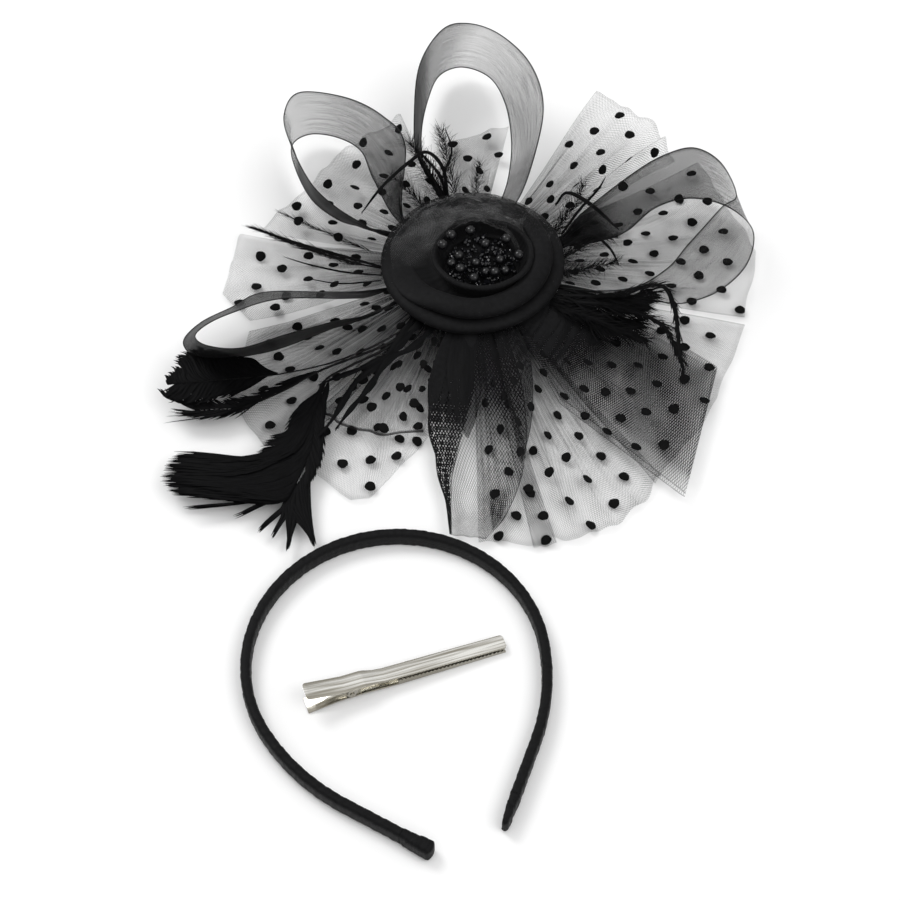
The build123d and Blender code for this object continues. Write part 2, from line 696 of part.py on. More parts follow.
LEVER_EAR_OFFSET = EAR_OFFSET + EAR_THICK + 0.3
with BuildPart() as clip_upper_jaw:
    with BuildSketch(side_plane):
        with BuildLine():
            Polyline(*side_strip(UPPER_LINE, CLIP_SHEET), close=True)
        make_face()
    extrude(amount=LEVER_PLATE_HALF, both=True)
    # In plan: a broad thumb plate, a shoulder, then the narrower jaw with its rounded tip
    with BuildSketch(clip_plane):
        with BuildLine():
            Polyline(
                (-2 * CLIP_TAIL, -LEVER_PLATE_HALF),
                (LEVER_PLATE_END, -LEVER_PLATE_HALF),
                (LEVER_PLATE_END + 4, -LEVER_JAW_HALF),
                (2 * CLIP_JAW, -LEVER_JAW_HALF),
                (2 * CLIP_JAW, LEVER_JAW_HALF),
                (LEVER_PLATE_END + 4, LEVER_JAW_HALF),
                (LEVER_PLATE_END, LEVER_PLATE_HALF),
                (-2 * CLIP_TAIL, LEVER_PLATE_HALF),
                close=True,
            )
        make_face()
    extrude(amount=TALL, mode=Mode.INTERSECT)
    fillet(clip_upper_jaw.edges().filter_by(Axis.Z), 1.4)
    for side in (-1, 1):
        with BuildSketch(side_plane.offset(side * LEVER_EAR_OFFSET)):
            with Locations((0, PIN_Z)):
                Circle(EAR_RADIUS)
            with Locations((0.5, PIN_Z + 1.4)):
                Rectangle(2 * EAR_RADIUS, 2.8)
            with Locations((0, PIN_Z)):
                Circle(PIN_RADIUS + PIN_CLEARANCE, mode=Mode.SUBTRACT)
        extrude(amount=EAR_THICK / 2, both=True)
finish(clip_upper_jaw.part, "clip_upper_jaw")

with BuildPart() as clip_pin:
    with BuildSketch(side_plane):
        with Locations((0, PIN_Z)):
            Circle(PIN_RADIUS)
    extrude(amount=LEVER_EAR_OFFSET + EAR_THICK, both=True)
finish(clip_pin.part, "clip_pin")

# Coiled spring round the pin, between the lower jaw's ears
SPRING_HALF = EAR_OFFSET - EAR_THICK / 2 - 0.2
with BuildPart() as clip_spring:
    with BuildSketch(side_plane):
        with Locations((0, PIN_Z)):
            Circle(PIN_RADIUS + 0.75)
            Circle(PIN_RADIUS + 0.1, mode=Mode.SUBTRACT)
    extrude(amount=SPRING_HALF, both=True)
finish(clip_spring.part, "clip_spring")
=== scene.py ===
import math

import bmesh
import bpy
import numpy as np
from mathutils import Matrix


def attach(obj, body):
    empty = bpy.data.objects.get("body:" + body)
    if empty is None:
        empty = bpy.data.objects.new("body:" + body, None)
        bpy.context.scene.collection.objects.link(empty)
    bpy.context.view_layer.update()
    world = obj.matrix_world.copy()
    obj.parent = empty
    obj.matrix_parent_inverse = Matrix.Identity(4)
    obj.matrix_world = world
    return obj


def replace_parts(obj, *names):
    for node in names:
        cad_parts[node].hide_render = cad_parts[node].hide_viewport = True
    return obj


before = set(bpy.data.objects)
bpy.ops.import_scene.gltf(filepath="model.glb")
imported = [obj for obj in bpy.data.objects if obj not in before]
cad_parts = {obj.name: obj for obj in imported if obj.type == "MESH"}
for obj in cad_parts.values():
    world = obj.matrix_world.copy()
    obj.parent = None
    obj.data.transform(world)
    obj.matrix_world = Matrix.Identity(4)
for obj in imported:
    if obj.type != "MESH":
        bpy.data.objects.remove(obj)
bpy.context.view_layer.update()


rng = np.random.default_rng(7)  # scatters the dots and sets each blade's place in its streaks

# ------------------------------------------------------------------ sizes, in millimetres
MM = 0.001
COLLAR = (2.2, -1.5)  # centre of the rosette's collar and of the loose mesh on it
CUP = (4.5, -3.0)  # centre of the cup
CUP_RADIUS = 16.4  # inside it, at the lining
HUB_RADIUS = 13.0  # where the leaves are sewn down
T0, T1 = 9.1, 10.0  # heights of the two tiers of leaves at the hub
DOT_PITCH = 15.5
DOT_RADIUS = 2.35
RIBBON_WIDTH = 36.0
PETAL_WIDTH = 16.0
CORD_RADIUS = 0.24  # of the cord in a ribbon's edge
CLIP_PLACE, CLIP_TURN = (-49.0, -208.0), 19.5  # the clip's middle in plan, and its turn in degrees
BAND_PLACE, BAND_TURN = (-31.0, -197.0), 20.5  # the same for the headband
CROWN_RADIUS, SHOULDER_RADIUS, LEG_LENGTH = 59.0, 90.0, 38.0
BAND_THICK, BAND_TALL, BAND_HEIGHT = 4.1, 7.7, 4.0
END_LENGTH = 13.0  # of the folded satin at each tip of the headband

# How finely a shape is divided.
NET_POINTS = 96
RING_POINTS = 40
LOOP_POINTS = 190


# ------------------------------------------------------------------ materials
class Look:
    """A procedural material, with short calls that add shader nodes and join them."""

    def __init__(self, name, **settings):
        self.material = bpy.data.materials.new(name)
        self.material.use_nodes = True
        self.nodes = self.material.node_tree.nodes
        self.links = self.material.node_tree.links
        self.shader = self.nodes["Principled BSDF"]
        for key, value in settings.items():
            self.feed(self.shader.inputs[key.replace("_", " ")], value)

    def feed(self, socket, value):
        if isinstance(value, bpy.types.NodeSocket):
            self.links.new(value, socket)
        else:
            socket.default_value = value

    def math(self, operation, *values):
        node = self.nodes.new("ShaderNodeMath")
        node.operation = operation
        for socket, value in zip(node.inputs, values):
            self.feed(socket, value)
        return node.outputs[0]

    def plus(self, first, second):
        return self.math("ADD", first, second)

    def minus(self, first, second):
        return self.math("SUBTRACT", first, second)

    def times(self, first, second):
        return self.math("MULTIPLY", first, second)

    def weave(self):
        """Place in the flat cloth, in millimetres: across and along."""
        node = self.nodes.new("ShaderNodeUVMap")
        node.uv_map = "weave"
        split = self.nodes.new("ShaderNodeSeparateXYZ")
        self.links.new(node.outputs[0], split.inputs[0])
        return split.outputs[0], split.outputs[1]

    def joined(self, x, y, z=0.0):
        node = self.nodes.new("ShaderNodeCombineXYZ")
        for socket, value in zip(node.inputs, (x, y, z)):
            self.feed(socket, value)
        return node.outputs[0]

    def held(self, name):
        """A value that the mesh carries at each point."""
        node = self.nodes.new("ShaderNodeAttribute")
        node.attribute_name = name
        return node.outputs["Fac"]

    def place(self):
        """Place on the object, in metres."""
        return self.nodes.new("ShaderNodeTexCoord").outputs["Object"]

    def noise(self, vector, scale, detail=3.0, rough=0.5):
        node = self.nodes.new("ShaderNodeTexNoise")
        self.feed(node.inputs["Vector"], vector)
        node.inputs["Scale"].default_value = scale
        node.inputs["Detail"].default_value = detail
        node.inputs["Roughness"].default_value = rough
        return node.outputs[0]

    def span(self, value, low, high, to_low=0.0, to_high=1.0):
        """The value carried smoothly from one range to another, and held at its ends."""
        node = self.nodes.new("ShaderNodeMapRange")
        node.interpolation_type = "SMOOTHSTEP"
        for socket, number in zip(node.inputs, (value, low, high, to_low, to_high)):
            self.feed(socket, number)
        return node.outputs[0]

    def ramp(self, factor, low, high):
        node = self.nodes.new("ShaderNodeMix")
        node.data_type = "RGBA"
        self.feed(node.inputs[0], factor)
        node.inputs[6].default_value = (*low, 1)
        node.inputs[7].default_value = (*high, 1)
        return node.outputs[2]

    def bump(self, height, strength, distance):
        node = self.nodes.new("ShaderNodeBump")
        self.feed(node.inputs["Height"], height)
        node.inputs["Strength"].default_value = strength
        node.inputs["Distance"].default_value = distance
        self.links.new(node.outputs[0], self.shader.inputs["Normal"])

    def colour(self, factor, low, high):
        self.links.new(self.ramp(factor, low, high), self.shader.inputs["Base Color"])

    def alpha(self, value):
        self.feed(self.shader.inputs["Alpha"], self.math("MINIMUM", self.math("MAXIMUM", value, 0.0), 1.0))

    def threads(self, position, pitch, share):
        """1 on threads laid at a pitch, 0 in the gaps; share is the covered part of the pitch."""
        cell = self.math("FRACT", self.math("DIVIDE", position, pitch))
        away = self.math("ABSOLUTE", self.minus(cell, 0.5))
        half = self.times(share, 0.5)
        edge = self.minus(0.5, half)
        return self.span(away, self.minus(edge, 0.04), self.plus(edge, 0.04))

    def either(self, first, second):
        """Cover of two thread families over each other."""
        clear = self.times(self.minus(1.0, first), self.minus(1.0, second))
        return self.minus(1.0, clear)


def grey(level, blue=0.0):
    return (level, level, level + blue)


BLACK = grey(0.004)
SOFT_BLACK = grey(0.012, 0.001)


def net_look(
    name, pitch, share, slant=1.0, roughness=0.6, sheen=0.02, low=BLACK, high=SOFT_BLACK, shine=0.03,
    crumple=0.0
):
    """Net of two slanted thread families. The attribute gather thickens it where it is bunched."""
    look = Look(name, Roughness=roughness, Sheen_Weight=sheen, Specular_IOR_Level=shine)
    u, v = look.weave()
    along = look.times(v, slant)
    uneven = look.span(look.noise(look.joined(u, v), 0.09, 2.0), 0.3, 0.7, 0.82, 1.18)
    streak = look.noise(look.joined(u, look.times(v, 0.03)), 0.55, 3.0)
    bunched = look.span(look.held("gather"), 1.05, 2.4)
    creased = look.plus(1.0, look.times(bunched, look.span(streak, 0.35, 0.7, -0.35, 1.0)))
    gathered = look.times(look.times(look.held("gather"), share), look.times(uneven, creased))
    covered = look.math("MINIMUM", gathered, 0.97)
    first = look.threads(look.plus(u, along), pitch, covered)
    second = look.threads(look.minus(u, along), pitch, covered)
    look.alpha(look.math("MAXIMUM", look.either(first, second), look.held("edge")))
    look.colour(look.noise(look.joined(u, v), 0.5, 3.0), low, high)
    if crumple:
        look.bump(look.noise(look.joined(u, v), 1.1, 2.0), 1.0, crumple)
    return look.material


tulle = net_look("tulle", 0.85, 0.092, slant=0.62)
stiff_net = net_look("stiff_net", 1.45, 0.16, slant=0.6)
dark_net = net_look("dark_net", 1.1, 0.185, slant=0.6)
crin = net_look(
    "crin", 0.7, 0.66, slant=0.7, roughness=0.6, sheen=0.02, shine=0.08, low=grey(0.003),
    high=grey(0.01, 0.001)
)
open_crin = net_look(
    "open_crin", 0.95, 0.30, slant=0.7, roughness=0.28, sheen=0.10, low=grey(0.01),
    high=grey(0.075, 0.002), shine=0.6, crumple=0.0012
)


def organza_look():
    """Fine plain weave, with slubs along the ribbon; gather above 1.2 reads as cloth lying double."""
    look = Look("organza", Roughness=0.5, Sheen_Weight=0.01, Specular_IOR_Level=0.03)
    u, v = look.weave()
    warp = look.threads(u, 0.36, 0.46)
    weft = look.threads(v, 0.42, 0.42)
    streak = look.span(look.noise(look.joined(u, look.times(v, 0.04)), 1.3, 3.0), 0.3, 0.7, 0.82, 1.15)
    cover = look.times(look.times(look.either(warp, weft), streak), look.held("gather"))
    layered = look.math("MAXIMUM", cover, look.span(look.held("gather"), 1.2, 2.0, 0.0, 0.9))
    look.alpha(look.math("MAXIMUM", layered, look.held("edge")))
    look.colour(look.noise(look.joined(u, look.times(v, 0.06)), 1.6, 3.0), BLACK, grey(0.012, 0.001))
    return look.material


organza = organza_look()


def cloth_look(name, low, high, roughness, sheen, scale, bump, distance, specular):
    """Matt fibrous cloth or thread."""
    look = Look(name, Roughness=roughness, Sheen_Weight=sheen, Specular_IOR_Level=specular)
    place = look.place()
    fibre = look.noise(place, scale, 6.0, 0.7)
    look.colour(look.span(fibre, 0.3, 0.7), low, high)
    look.bump(fibre, bump, distance)
    return look.material


felt = cloth_look("felt", grey(0.005), grey(0.015, 0.001), 0.95, 0.12, 1400.0, 0.7, 0.0004, 0.08)
buckram = cloth_look("buckram", grey(0.006), grey(0.016), 0.8, 0.05, 900.0, 0.6, 0.0003, 0.12)
thread = cloth_look("thread", grey(0.005), grey(0.017, 0.001), 0.6, 0.05, 2600.0, 0.7, 0.0002, 0.15)
flock = cloth_look("flock", grey(0.0025), grey(0.007), 0.95, 0.03, 2600.0, 0.8, 0.0002, 0.05)
cord_black = cloth_look("cord_black", grey(0.004), grey(0.012), 0.6, 0.03, 2200.0, 0.5, 0.0002, 0.12)


def feather_look(name, roughness, low, high):
    """Barbs streaked along their length."""
    look = Look(name, Roughness=roughness, Sheen_Weight=0.0, Specular_IOR_Level=0.05)
    u, v = look.weave()
    streak = look.noise(look.joined(look.times(u, 3.0), look.times(v, 0.15)), 1.0, 4.0)
    look.colour(look.span(streak, 0.3, 0.7), low, high)
    look.bump(streak, 0.4, 0.0002)
    return look.material


feather = feather_look("feather", 0.5, grey(0.0012, 0.0001), grey(0.0045, 0.0005))
fluff = feather_look("fluff", 0.75, grey(0.002), grey(0.006, 0.0005))
quill = feather_look("quill", 0.4, grey(0.004), grey(0.012))


def satin_look():
    """Close ribbed satin, a little uneven in its gloss."""
    look = Look("satin", Roughness=0.42, Sheen_Weight=0.01, Specular_IOR_Level=0.10)
    u, v = look.weave()
    rib = look.threads(look.plus(u, look.times(v, 0.25)), 0.42, 0.55)
    uneven = look.noise(look.joined(u, v), 0.6, 4.0)
    look.colour(look.span(uneven, 0.25, 0.75), grey(0.002, 0.0002), grey(0.006, 0.0006))
    look.feed(look.shader.inputs["Roughness"], look.span(uneven, 0.3, 0.7, 0.40, 0.56))
    look.bump(rib, 0.35, 0.00012)
    return look.material


satin = satin_look()


def gloss_look(name, colour, scatter, roughness, coat):
    """Dark glass, lacquer or plastic."""
    look = Look(name, Roughness=roughness, Coat_Weight=coat, Coat_Roughness=0.06, Specular_IOR_Level=0.3)
    noise = look.noise(look.place(), 600.0, 3.0)
    look.colour(look.span(noise, 0.3, 0.7), colour, scatter)
    look.feed(look.shader.inputs["Roughness"], look.span(noise, 0.3, 0.7, roughness, roughness + 0.12))
    look.bump(noise, 0.15, 0.0001)
    return look.material


pearl = gloss_look("pearl", grey(0.002, 0.0005), grey(0.005, 0.001), 0.2, 0.25)
seed_glass = gloss_look("seed", grey(0.003, 0.001), grey(0.008, 0.003), 0.08, 0.6)
lacquer = gloss_look("lacquer", grey(0.005), grey(0.012), 0.3, 0.2)
plastic = gloss_look("plastic", grey(0.03), grey(0.045), 0.5, 0.0)


def metal_look(name, low, high, roughness, stretch):
    """Plated sheet: streaks along the clip, partly the metal's grain and partly painted darker reflections,
    and a painted dark reflection along its long edges where they turn down.
    """
    look = Look(name, Metallic=1.0, Roughness=roughness)
    place = look.place()
    brushed = look.noise(place, 900.0, 4.0)
    split = look.nodes.new("ShaderNodeSeparateXYZ")
    look.links.new(place, split.inputs[0])
    x = look.plus(look.times(split.outputs[0], 1 / MM), -CLIP_PLACE[0])
    y = look.plus(look.times(split.outputs[1], 1 / MM), -CLIP_PLACE[1])
    c, s = math.cos(math.radians(CLIP_TURN)), math.sin(math.radians(CLIP_TURN))
    along = look.plus(look.times(x, c), look.times(y, s))
    across = look.minus(look.times(y, c), look.times(x, s))
    # Streaks along the clip: the metal's own grain together with painted darker reflections.
    streaks = look.noise(look.joined(look.times(along, 0.03), across), 0.9, 3.0)
    shade = look.span(streaks, 0.3, 0.65)
    # Painted shade: the colour falls towards the low colour near the long edges, a dark reflection painted
    # where they turn down.
    rim = look.span(look.math("ABSOLUTE", across), 2.45, 2.95, 1.0, 0.18)
    look.colour(look.times(shade, rim), low, high)
    look.feed(
        look.shader.inputs["Roughness"], look.span(brushed, 0.25, 0.75, roughness, roughness + stretch)
    )
    look.bump(brushed, 0.12, 0.00008)
    return look.material


# The low colours are painted dark and brownish reflections, used at the streaks and the long edges; the high
# colours are the plated metal itself.
nickel = metal_look("nickel", (0.30, 0.28, 0.23), (0.86, 0.85, 0.81), 0.12, 0.12)
spring_steel = metal_look("spring_steel", (0.42, 0.41, 0.39), (0.58, 0.57, 0.55), 0.28, 0.2)


# ------------------------------------------------------------------ shapes, in millimetres
def made(name, points, faces, material, uv=None, smooth=True, body="flower", slot=None, **attributes):
    """A mesh object riding on a body. Its attributes are values for the material, one for each point."""
    mesh = bpy.data.meshes.new(name)
    points = np.asarray(points, float).reshape(-1, 3)
    mesh.from_pydata((points * MM).tolist(), [], faces)
    loops = np.zeros(len(mesh.loops), np.int32)
    mesh.loops.foreach_get("vertex_index", loops)
    if uv is None:
        uv = points[:, :2]
    layer = mesh.uv_layers.new(name="weave")
    layer.data.foreach_set("uv", np.asarray(uv, np.float32).reshape(-1, 2)[loops].ravel())
    for key, values in attributes.items():
        held = mesh.attributes.new(key, "FLOAT", "POINT")
        held.data.foreach_set("value", np.asarray(values, np.float32).ravel())
    mesh.polygons.foreach_set("use_smooth", [smooth] * len(mesh.polygons))
    mesh.materials.append(material)
    piece = bpy.data.objects.new(name, mesh)
    bpy.context.scene.collection.objects.link(piece)
    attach(piece, body)
    return piece


def grid_faces(rows, columns, closed=False):
    """Faces of a grid of points; a closed one joins its last column to its first."""
    faces = []
    for i in range(rows - 1):
        near, far = i * columns, (i + 1) * columns
        for j in range(columns if closed else columns - 1):
            k = (j + 1) % columns
            faces.append((near + j, near + k, far + k, far + j))
    return faces


def unit(v):
    """Directions of length 1, kept safe where there is none."""
    v = np.asarray(v, float)
    return v / np.maximum(np.linalg.norm(v, axis=-1, keepdims=True), 1e-9)


def smooth_line(points, count):
    """Evenly spaced points on a smooth line through the given ones."""
    p = np.asarray(points, float)
    p = np.vstack([2 * p[0] - p[1], p, 2 * p[-1] - p[-2]])
    fine = []
    for i in range(1, len(p) - 2):
        for t in np.linspace(0, 1, 24, endpoint=False):
            a, b, c, d = p[i - 1], p[i], p[i + 1], p[i + 2]
            square, cube = 2 * a - 5 * b + 4 * c - d, 3 * b - a - 3 * c + d
            fine.append(0.5 * (2 * b + (c - a) * t + square * t**2 + cube * t**3))
    fine.append(p[-2])
    return even(np.array(fine), count)


def distances(line):
    """How far along the line each of its points lies."""
    return np.r_[0, np.cumsum(np.linalg.norm(np.diff(line, axis=0), axis=1))]


def along_line(line, shares):
    """Points at the given shares of a line's length."""
    line = np.asarray(line, float)
    step = distances(line)
    at = np.asarray(shares) * step[-1]
    return np.stack([np.interp(at, step, line[:, k]) for k in range(line.shape[1])], -1)


def even(line, count):
    """The same line with evenly spaced points."""
    return along_line(line, np.linspace(0, 1, count))


def length_of(line):
    return float(np.linalg.norm(np.diff(line, axis=0), axis=1).sum())


def turns(line):
    """Direction of a line at each of its points."""
    return unit(np.gradient(line, axis=0))


def area_of(grid):
    """Area of a grid of points taken as small parallelograms."""
    a = grid[1:, :-1] - grid[:-1, :-1]
    b = grid[:-1, 1:] - grid[:-1, :-1]
    return float(np.linalg.norm(np.cross(a, b), axis=2).sum())


def ease(x, low, high):
    """0 below low, 1 above high, and smooth between."""
    t = np.clip((np.asarray(x, float) - low) / (high - low), 0, 1)
    return t * t * (3 - 2 * t)


def tube_data(path, radius, sides=8):
    """A closed tube of changing radius along a path."""
    path = np.asarray(path, float)
    radius = np.broadcast_to(np.asarray(radius, float), (len(path),))
    along = turns(path)
    up = np.array([0.0, 0.0, 1.0]) if abs(along[0][2]) < 0.9 else np.array([1.0, 0.0, 0.0])
    rings, uv = [], []
    far = distances(path)
    for i, (point, way) in enumerate(zip(path, along)):
        side = unit(np.cross(way, up))
        up = unit(np.cross(side, way))
        for k in range(sides):
            a = 2 * math.pi * k / sides
            rings.append(point + radius[i] * (math.cos(a) * side + math.sin(a) * up))
            uv.append((radius[i] * a, far[i]))
    faces = grid_faces(len(path), sides, closed=True)
    faces.append(tuple(range(sides))[::-1])
    faces.append(tuple((len(path) - 1) * sides + k for k in range(sides)))
    return np.array(rings), uv, faces


def woven(name, grid, material, u, v, slot, gather, edge):
    """A sheet's mesh, with u across and v along its flat cloth."""
    uv = np.dstack(np.meshgrid(u, v))
    return made(name, grid, grid_faces(*grid.shape[:2]), material, uv, slot=slot, gather=gather, edge=edge)


def fullness(grid, u, most):
    """How far the cloth is drawn together across each row: 1 where it lies flat, up to most."""
    gap = np.linalg.norm(np.diff(grid, axis=1), axis=2)
    gap = np.concatenate([gap, gap[:, -1:]], 1)
    return np.clip((u[1] - u[0]) / np.maximum(gap, 1e-3), 1.0, most)


def merged(parts):
    """Several (points, uv, faces) as one."""
    points, uvs, faces, start = [], [], [], 0
    for p, u, f in parts:
        points.append(np.asarray(p, float).reshape(-1, 3))
        uvs.append(np.asarray(u, float).reshape(-1, 2))
        faces += [tuple(start + i for i in face) for face in f]
        start += len(points[-1])
    return np.vstack(points), np.vstack(uvs), faces


def blade(path, width, ridge=0.12):
    """A thin tapering strip with a raised middle, along a path."""
    path = np.asarray(path, float)
    way = turns(path)
    side = unit(np.cross(way, (0.0, 0.0, 1.0)))
    up = unit(np.cross(side, way))
    w = np.asarray(width, float).reshape(-1, 1) / 2
    rows = np.stack([path - side * w, path + up * w * 2 * ridge, path + side * w], 1)
    far = distances(path)
    offset = rng.uniform(0, 40)
    uv = np.stack([np.stack([offset + x * w[:, 0], far], 1) for x in (-1, 0, 1)], 1)
    return rows.reshape(-1, 3), uv.reshape(-1, 2), grid_faces(len(path), 3)


def curve_to(start, lead, end, tail, count=8):
    """A curve from one point to another that leaves along lead and arrives along tail."""
    t = np.linspace(0, 1, count)[:, None]
    a, b, c, d = (np.asarray(v, float) for v in (start, np.add(start, lead), np.subtract(end, tail), end))
    return a * (1 - t) ** 3 + 3 * b * t * (1 - t) ** 2 + 3 * c * t**2 * (1 - t) + d * t**3


# ------------------------------------------------------------------ dotted tulle leaves
def dot_data(centre, first, second, squeeze):
    """A small domed flock dot lying on the net, a little uneven round its edge."""
    normal = unit(np.cross(first, second))
    if normal[2] < 0:
        normal = -normal
    rings = [(0.0, 0.42), (0.55, 0.38), (0.85, 0.26), (1.0, 0.04)]
    phase = rng.uniform(0, 6.28)
    points = [centre + normal * rings[0][1]]
    sides = 18
    for share, lift in rings[1:]:
        for k in range(sides):
            a = 2 * math.pi * k / sides
            uneven = 1 + 0.05 * math.sin(3 * a + phase) + 0.03 * math.sin(5 * a + 2 * phase)
            r = DOT_RADIUS * share * uneven
            across = first * (r * math.cos(a) * squeeze)
            points.append(centre + across + second * (r * math.sin(a)) + normal * lift)
    points.append(centre - normal * 0.12)
    faces = [(0, 1 + k, 1 + (k + 1) % sides) for k in range(sides)]
    for ring in range(len(rings) - 2):
        a, b = 1 + ring * sides, 1 + (ring + 1) * sides
        faces += [(a + k, b + k, b + (k + 1) % sides, a + (k + 1) % sides) for k in range(sides)]
    last = 1 + (len(rings) - 2) * sides
    faces += [(len(points) - 1, last + (k + 1) % sides, last + k) for k in range(sides)]
    uv = [(p[0], p[1]) for p in points]
    return np.array(points), uv, faces


def dots_on(name, grid, u, v, turn, shift, keep_from=0.0):
    """Dots at their lattice places in the flat cloth, carried onto the shaped sheet."""
    rows, columns = grid.shape[:2]
    turned = math.radians(turn)
    span = int((abs(u).max() + abs(v).max()) / DOT_PITCH) + 4
    parts = []
    for i in range(-span, span):
        for j in range(-span, span):
            x = (i + 0.5 * (j % 2)) * DOT_PITCH * 1.25 + shift[0] + rng.normal(0, 0.4)
            y = j * DOT_PITCH * 0.72 + shift[1] + rng.normal(0, 0.4)
            a = x * math.cos(turned) - y * math.sin(turned)
            b = x * math.sin(turned) + y * math.cos(turned)
            if not (u.min() + 1.6 < a < u.max() - 1.6 and v.min() + 2 < b < v.max() - 1.8):
                continue
            fi = np.interp(b, v, np.arange(rows))
            fj = np.interp(a, u, np.arange(columns))
            i0, j0 = min(int(fi), rows - 2), min(int(fj), columns - 2)
            di, dj = fi - i0, fj - j0
            corner = grid[i0 : i0 + 2, j0 : j0 + 2]
            left = corner[0, 0] * (1 - di) + corner[1, 0] * di
            right = corner[0, 1] * (1 - di) + corner[1, 1] * di
            centre = left * (1 - dj) + right * dj
            across = corner[0, 1] - corner[0, 0]
            along = corner[1, 0] - corner[0, 0]
            if np.hypot(centre[0], centre[1]) < keep_from:
                continue
            share = np.linalg.norm(across) / max(u[j0 + 1] - u[j0], 1e-6)
            first = unit(across)
            second = unit(along - first * np.dot(along, first))
            parts.append(dot_data(centre, first, second, min(1.0, max(0.62, share * 1.15))))
    points, uv, faces = merged(parts)
    return made(name, points, faces, flock, uv, slot="dotted_tulle")


def leaf_height(r, tier, end):
    """A leaf's height by distance from the middle: its tier over the hub, then falling to its end."""
    return np.interp(r, (8, 30, 85, 160), (tier, tier, end, end)) + 0.5


def leaf(
    label, tier, end, corners, pleats, ripple, turn, shift, seed, lift=0.0, tail=0.0, weight=1.0, hem=0.12
):
    """A gathered fan of dotted tulle: pleated at the hub and rippling at its outer edge."""
    dice = np.random.default_rng(seed)
    outer = even(np.array(corners, float), 110)
    first = math.atan2(corners[0][1], corners[0][0])
    last = math.atan2(corners[-1][1], corners[-1][0])
    while last - first > math.pi:
        last -= 2 * math.pi
    while last - first < -math.pi:
        last += 2 * math.pi
    angle = np.linspace(first, last, len(outer))
    root = HUB_RADIUS * np.stack([np.cos(angle), np.sin(angle)], 1)
    t = np.linspace(0, 1, 84)[:, None, None]
    flat = root[None] * (1 - t) + outer[None] * t
    share = np.linspace(0, 1, len(outer))[None, :]
    run = t[:, :, 0]
    phases = dice.uniform(0, 6.28, 4)
    sway = 0.16 * np.sin(2.2 * run * math.pi + phases[0])
    fold = np.sin(2 * math.pi * (pleats * share + sway) + phases[1])
    fold = fold + 0.45 * np.sin(2 * math.pi * (pleats * 1.63 * share - sway) + phases[2])
    swell = 0.55 + (0.5 + 0.5 * np.sin(5.1 * share + phases[3])) * 0.9
    size = ripple * (0.35 + 0.65 * ease(run, 0.12, 0.75)) * swell
    radius = np.hypot(flat[:, :, 0], flat[:, :, 1])
    height = leaf_height(radius, tier, end) + lift * ease(run, 0.25, 1.0)
    height = height + size * (0.62 + 0.5 * fold) * ease(run, 0.02, 0.2)
    height = np.maximum(height, 0.35 + 0.2 * np.sin(9 * share))
    wobble = tail * dice.normal(0, 1, 6)
    edge_wave = sum(w * np.sin((k + 2) * 3.1 * share + 1.7 * k) for k, w in enumerate(wobble))
    outward = unit(outer - root)[None]
    flat = flat + outward * (edge_wave * ease(run, 0.8, 1.0))[:, :, None]
    grid = np.dstack([flat, height])
    width = length_of(outer)
    reach = float(np.mean(np.linalg.norm(outer - root, axis=1)))
    u = np.linspace(-width / 2, width / 2, len(outer))
    v = np.linspace(0, reach, grid.shape[0])
    gather = weight * fullness(flat, u, 4.5)
    gather = gather * (1 + 0.35 * np.clip(fold, 0, 2) * (1 - 0.6 * run))
    border = np.zeros(grid.shape[:2])
    border[-2:, :] = hem
    border[:, 0] = border[:, -1] = 0.4
    piece = woven(label + "_net", grid, tulle, u, v, "dotted_tulle", gather, border)
    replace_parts(piece, label)
    dots = dots_on(label + "_dots", grid, u, v, turn, shift, keep_from=26.0)
    reach = reach * max(1.02, min(1.25, area_of(grid) / (width * reach)))


leaf("tulle_leaf_back", T0, 3.0, [(18, 92), (-13, 80)], 2, 1.2, 8, (3, 2), 11, weight=1.2)
leaf(
    "tulle_leaf_back_left", T1, 4.2, [(-33, 96), (-63, 70), (-97, 25)], 6, 2.1, 12, (2, 5), 12, tail=0.4,
    weight=1.0
)
leaf("tulle_leaf_left", T0, 1.3, [(-105, 27), (-111, -9), (-98, -24)], 4, 1.6, -6, (5, 3), 13)
leaf(
    "tulle_leaf_left_low", T0, 1.3, [(-98, -30), (-104, -68), (-89, -91), (-68, -86)], 4, 1.3, 20, (1, 8),
    14, weight=1.35
)
leaf(
    "tulle_leaf_front_left", T1, 3.8, [(-66, -74), (-58, -82), (-41, -88), (-21, -86)], 3, 1.5, -10,
    (2, 1), 15, weight=0.85, hem=0.85
)
leaf(
    "tulle_leaf_front_left_under", T0, 1.3,
    [(-78, -90), (-66, -106), (-51, -119), (-43, -118), (-16, -84)], 4, 1.2, 15, (6, 4), 16, weight=0.95
)
leaf("tulle_leaf_front", T0, 1.3, [(2, -140), (34, -141)], 3, 1.4, 0, (2, 3), 17, tail=0.5, weight=1.25)
leaf(
    "tulle_leaf_front_right", T0, 1.3, [(24, -140), (52, -135), (69, -123), (80, -108)], 5, 1.6, 24,
    (5, 6), 18, tail=0.7, weight=1.15
)
leaf(
    "tulle_leaf_right_low", T0, 1.3, [(76, -111), (106, -66), (120, -26)], 5, 1.5, -14, (3, 5), 19,
    tail=0.4
)
leaf("tulle_leaf_right", T0, 1.3, [(120, -22), (129, 16), (106, 70)], 5, 1.6, 5, (4, 2), 20, tail=0.4)
leaf(
    "tulle_leaf_back_right", T1, 11.0, [(93, 55), (84, 80), (59, 100)], 4, 3.2, -18, (1, 4), 21, lift=6.0,
    tail=0.5, weight=1.05
)


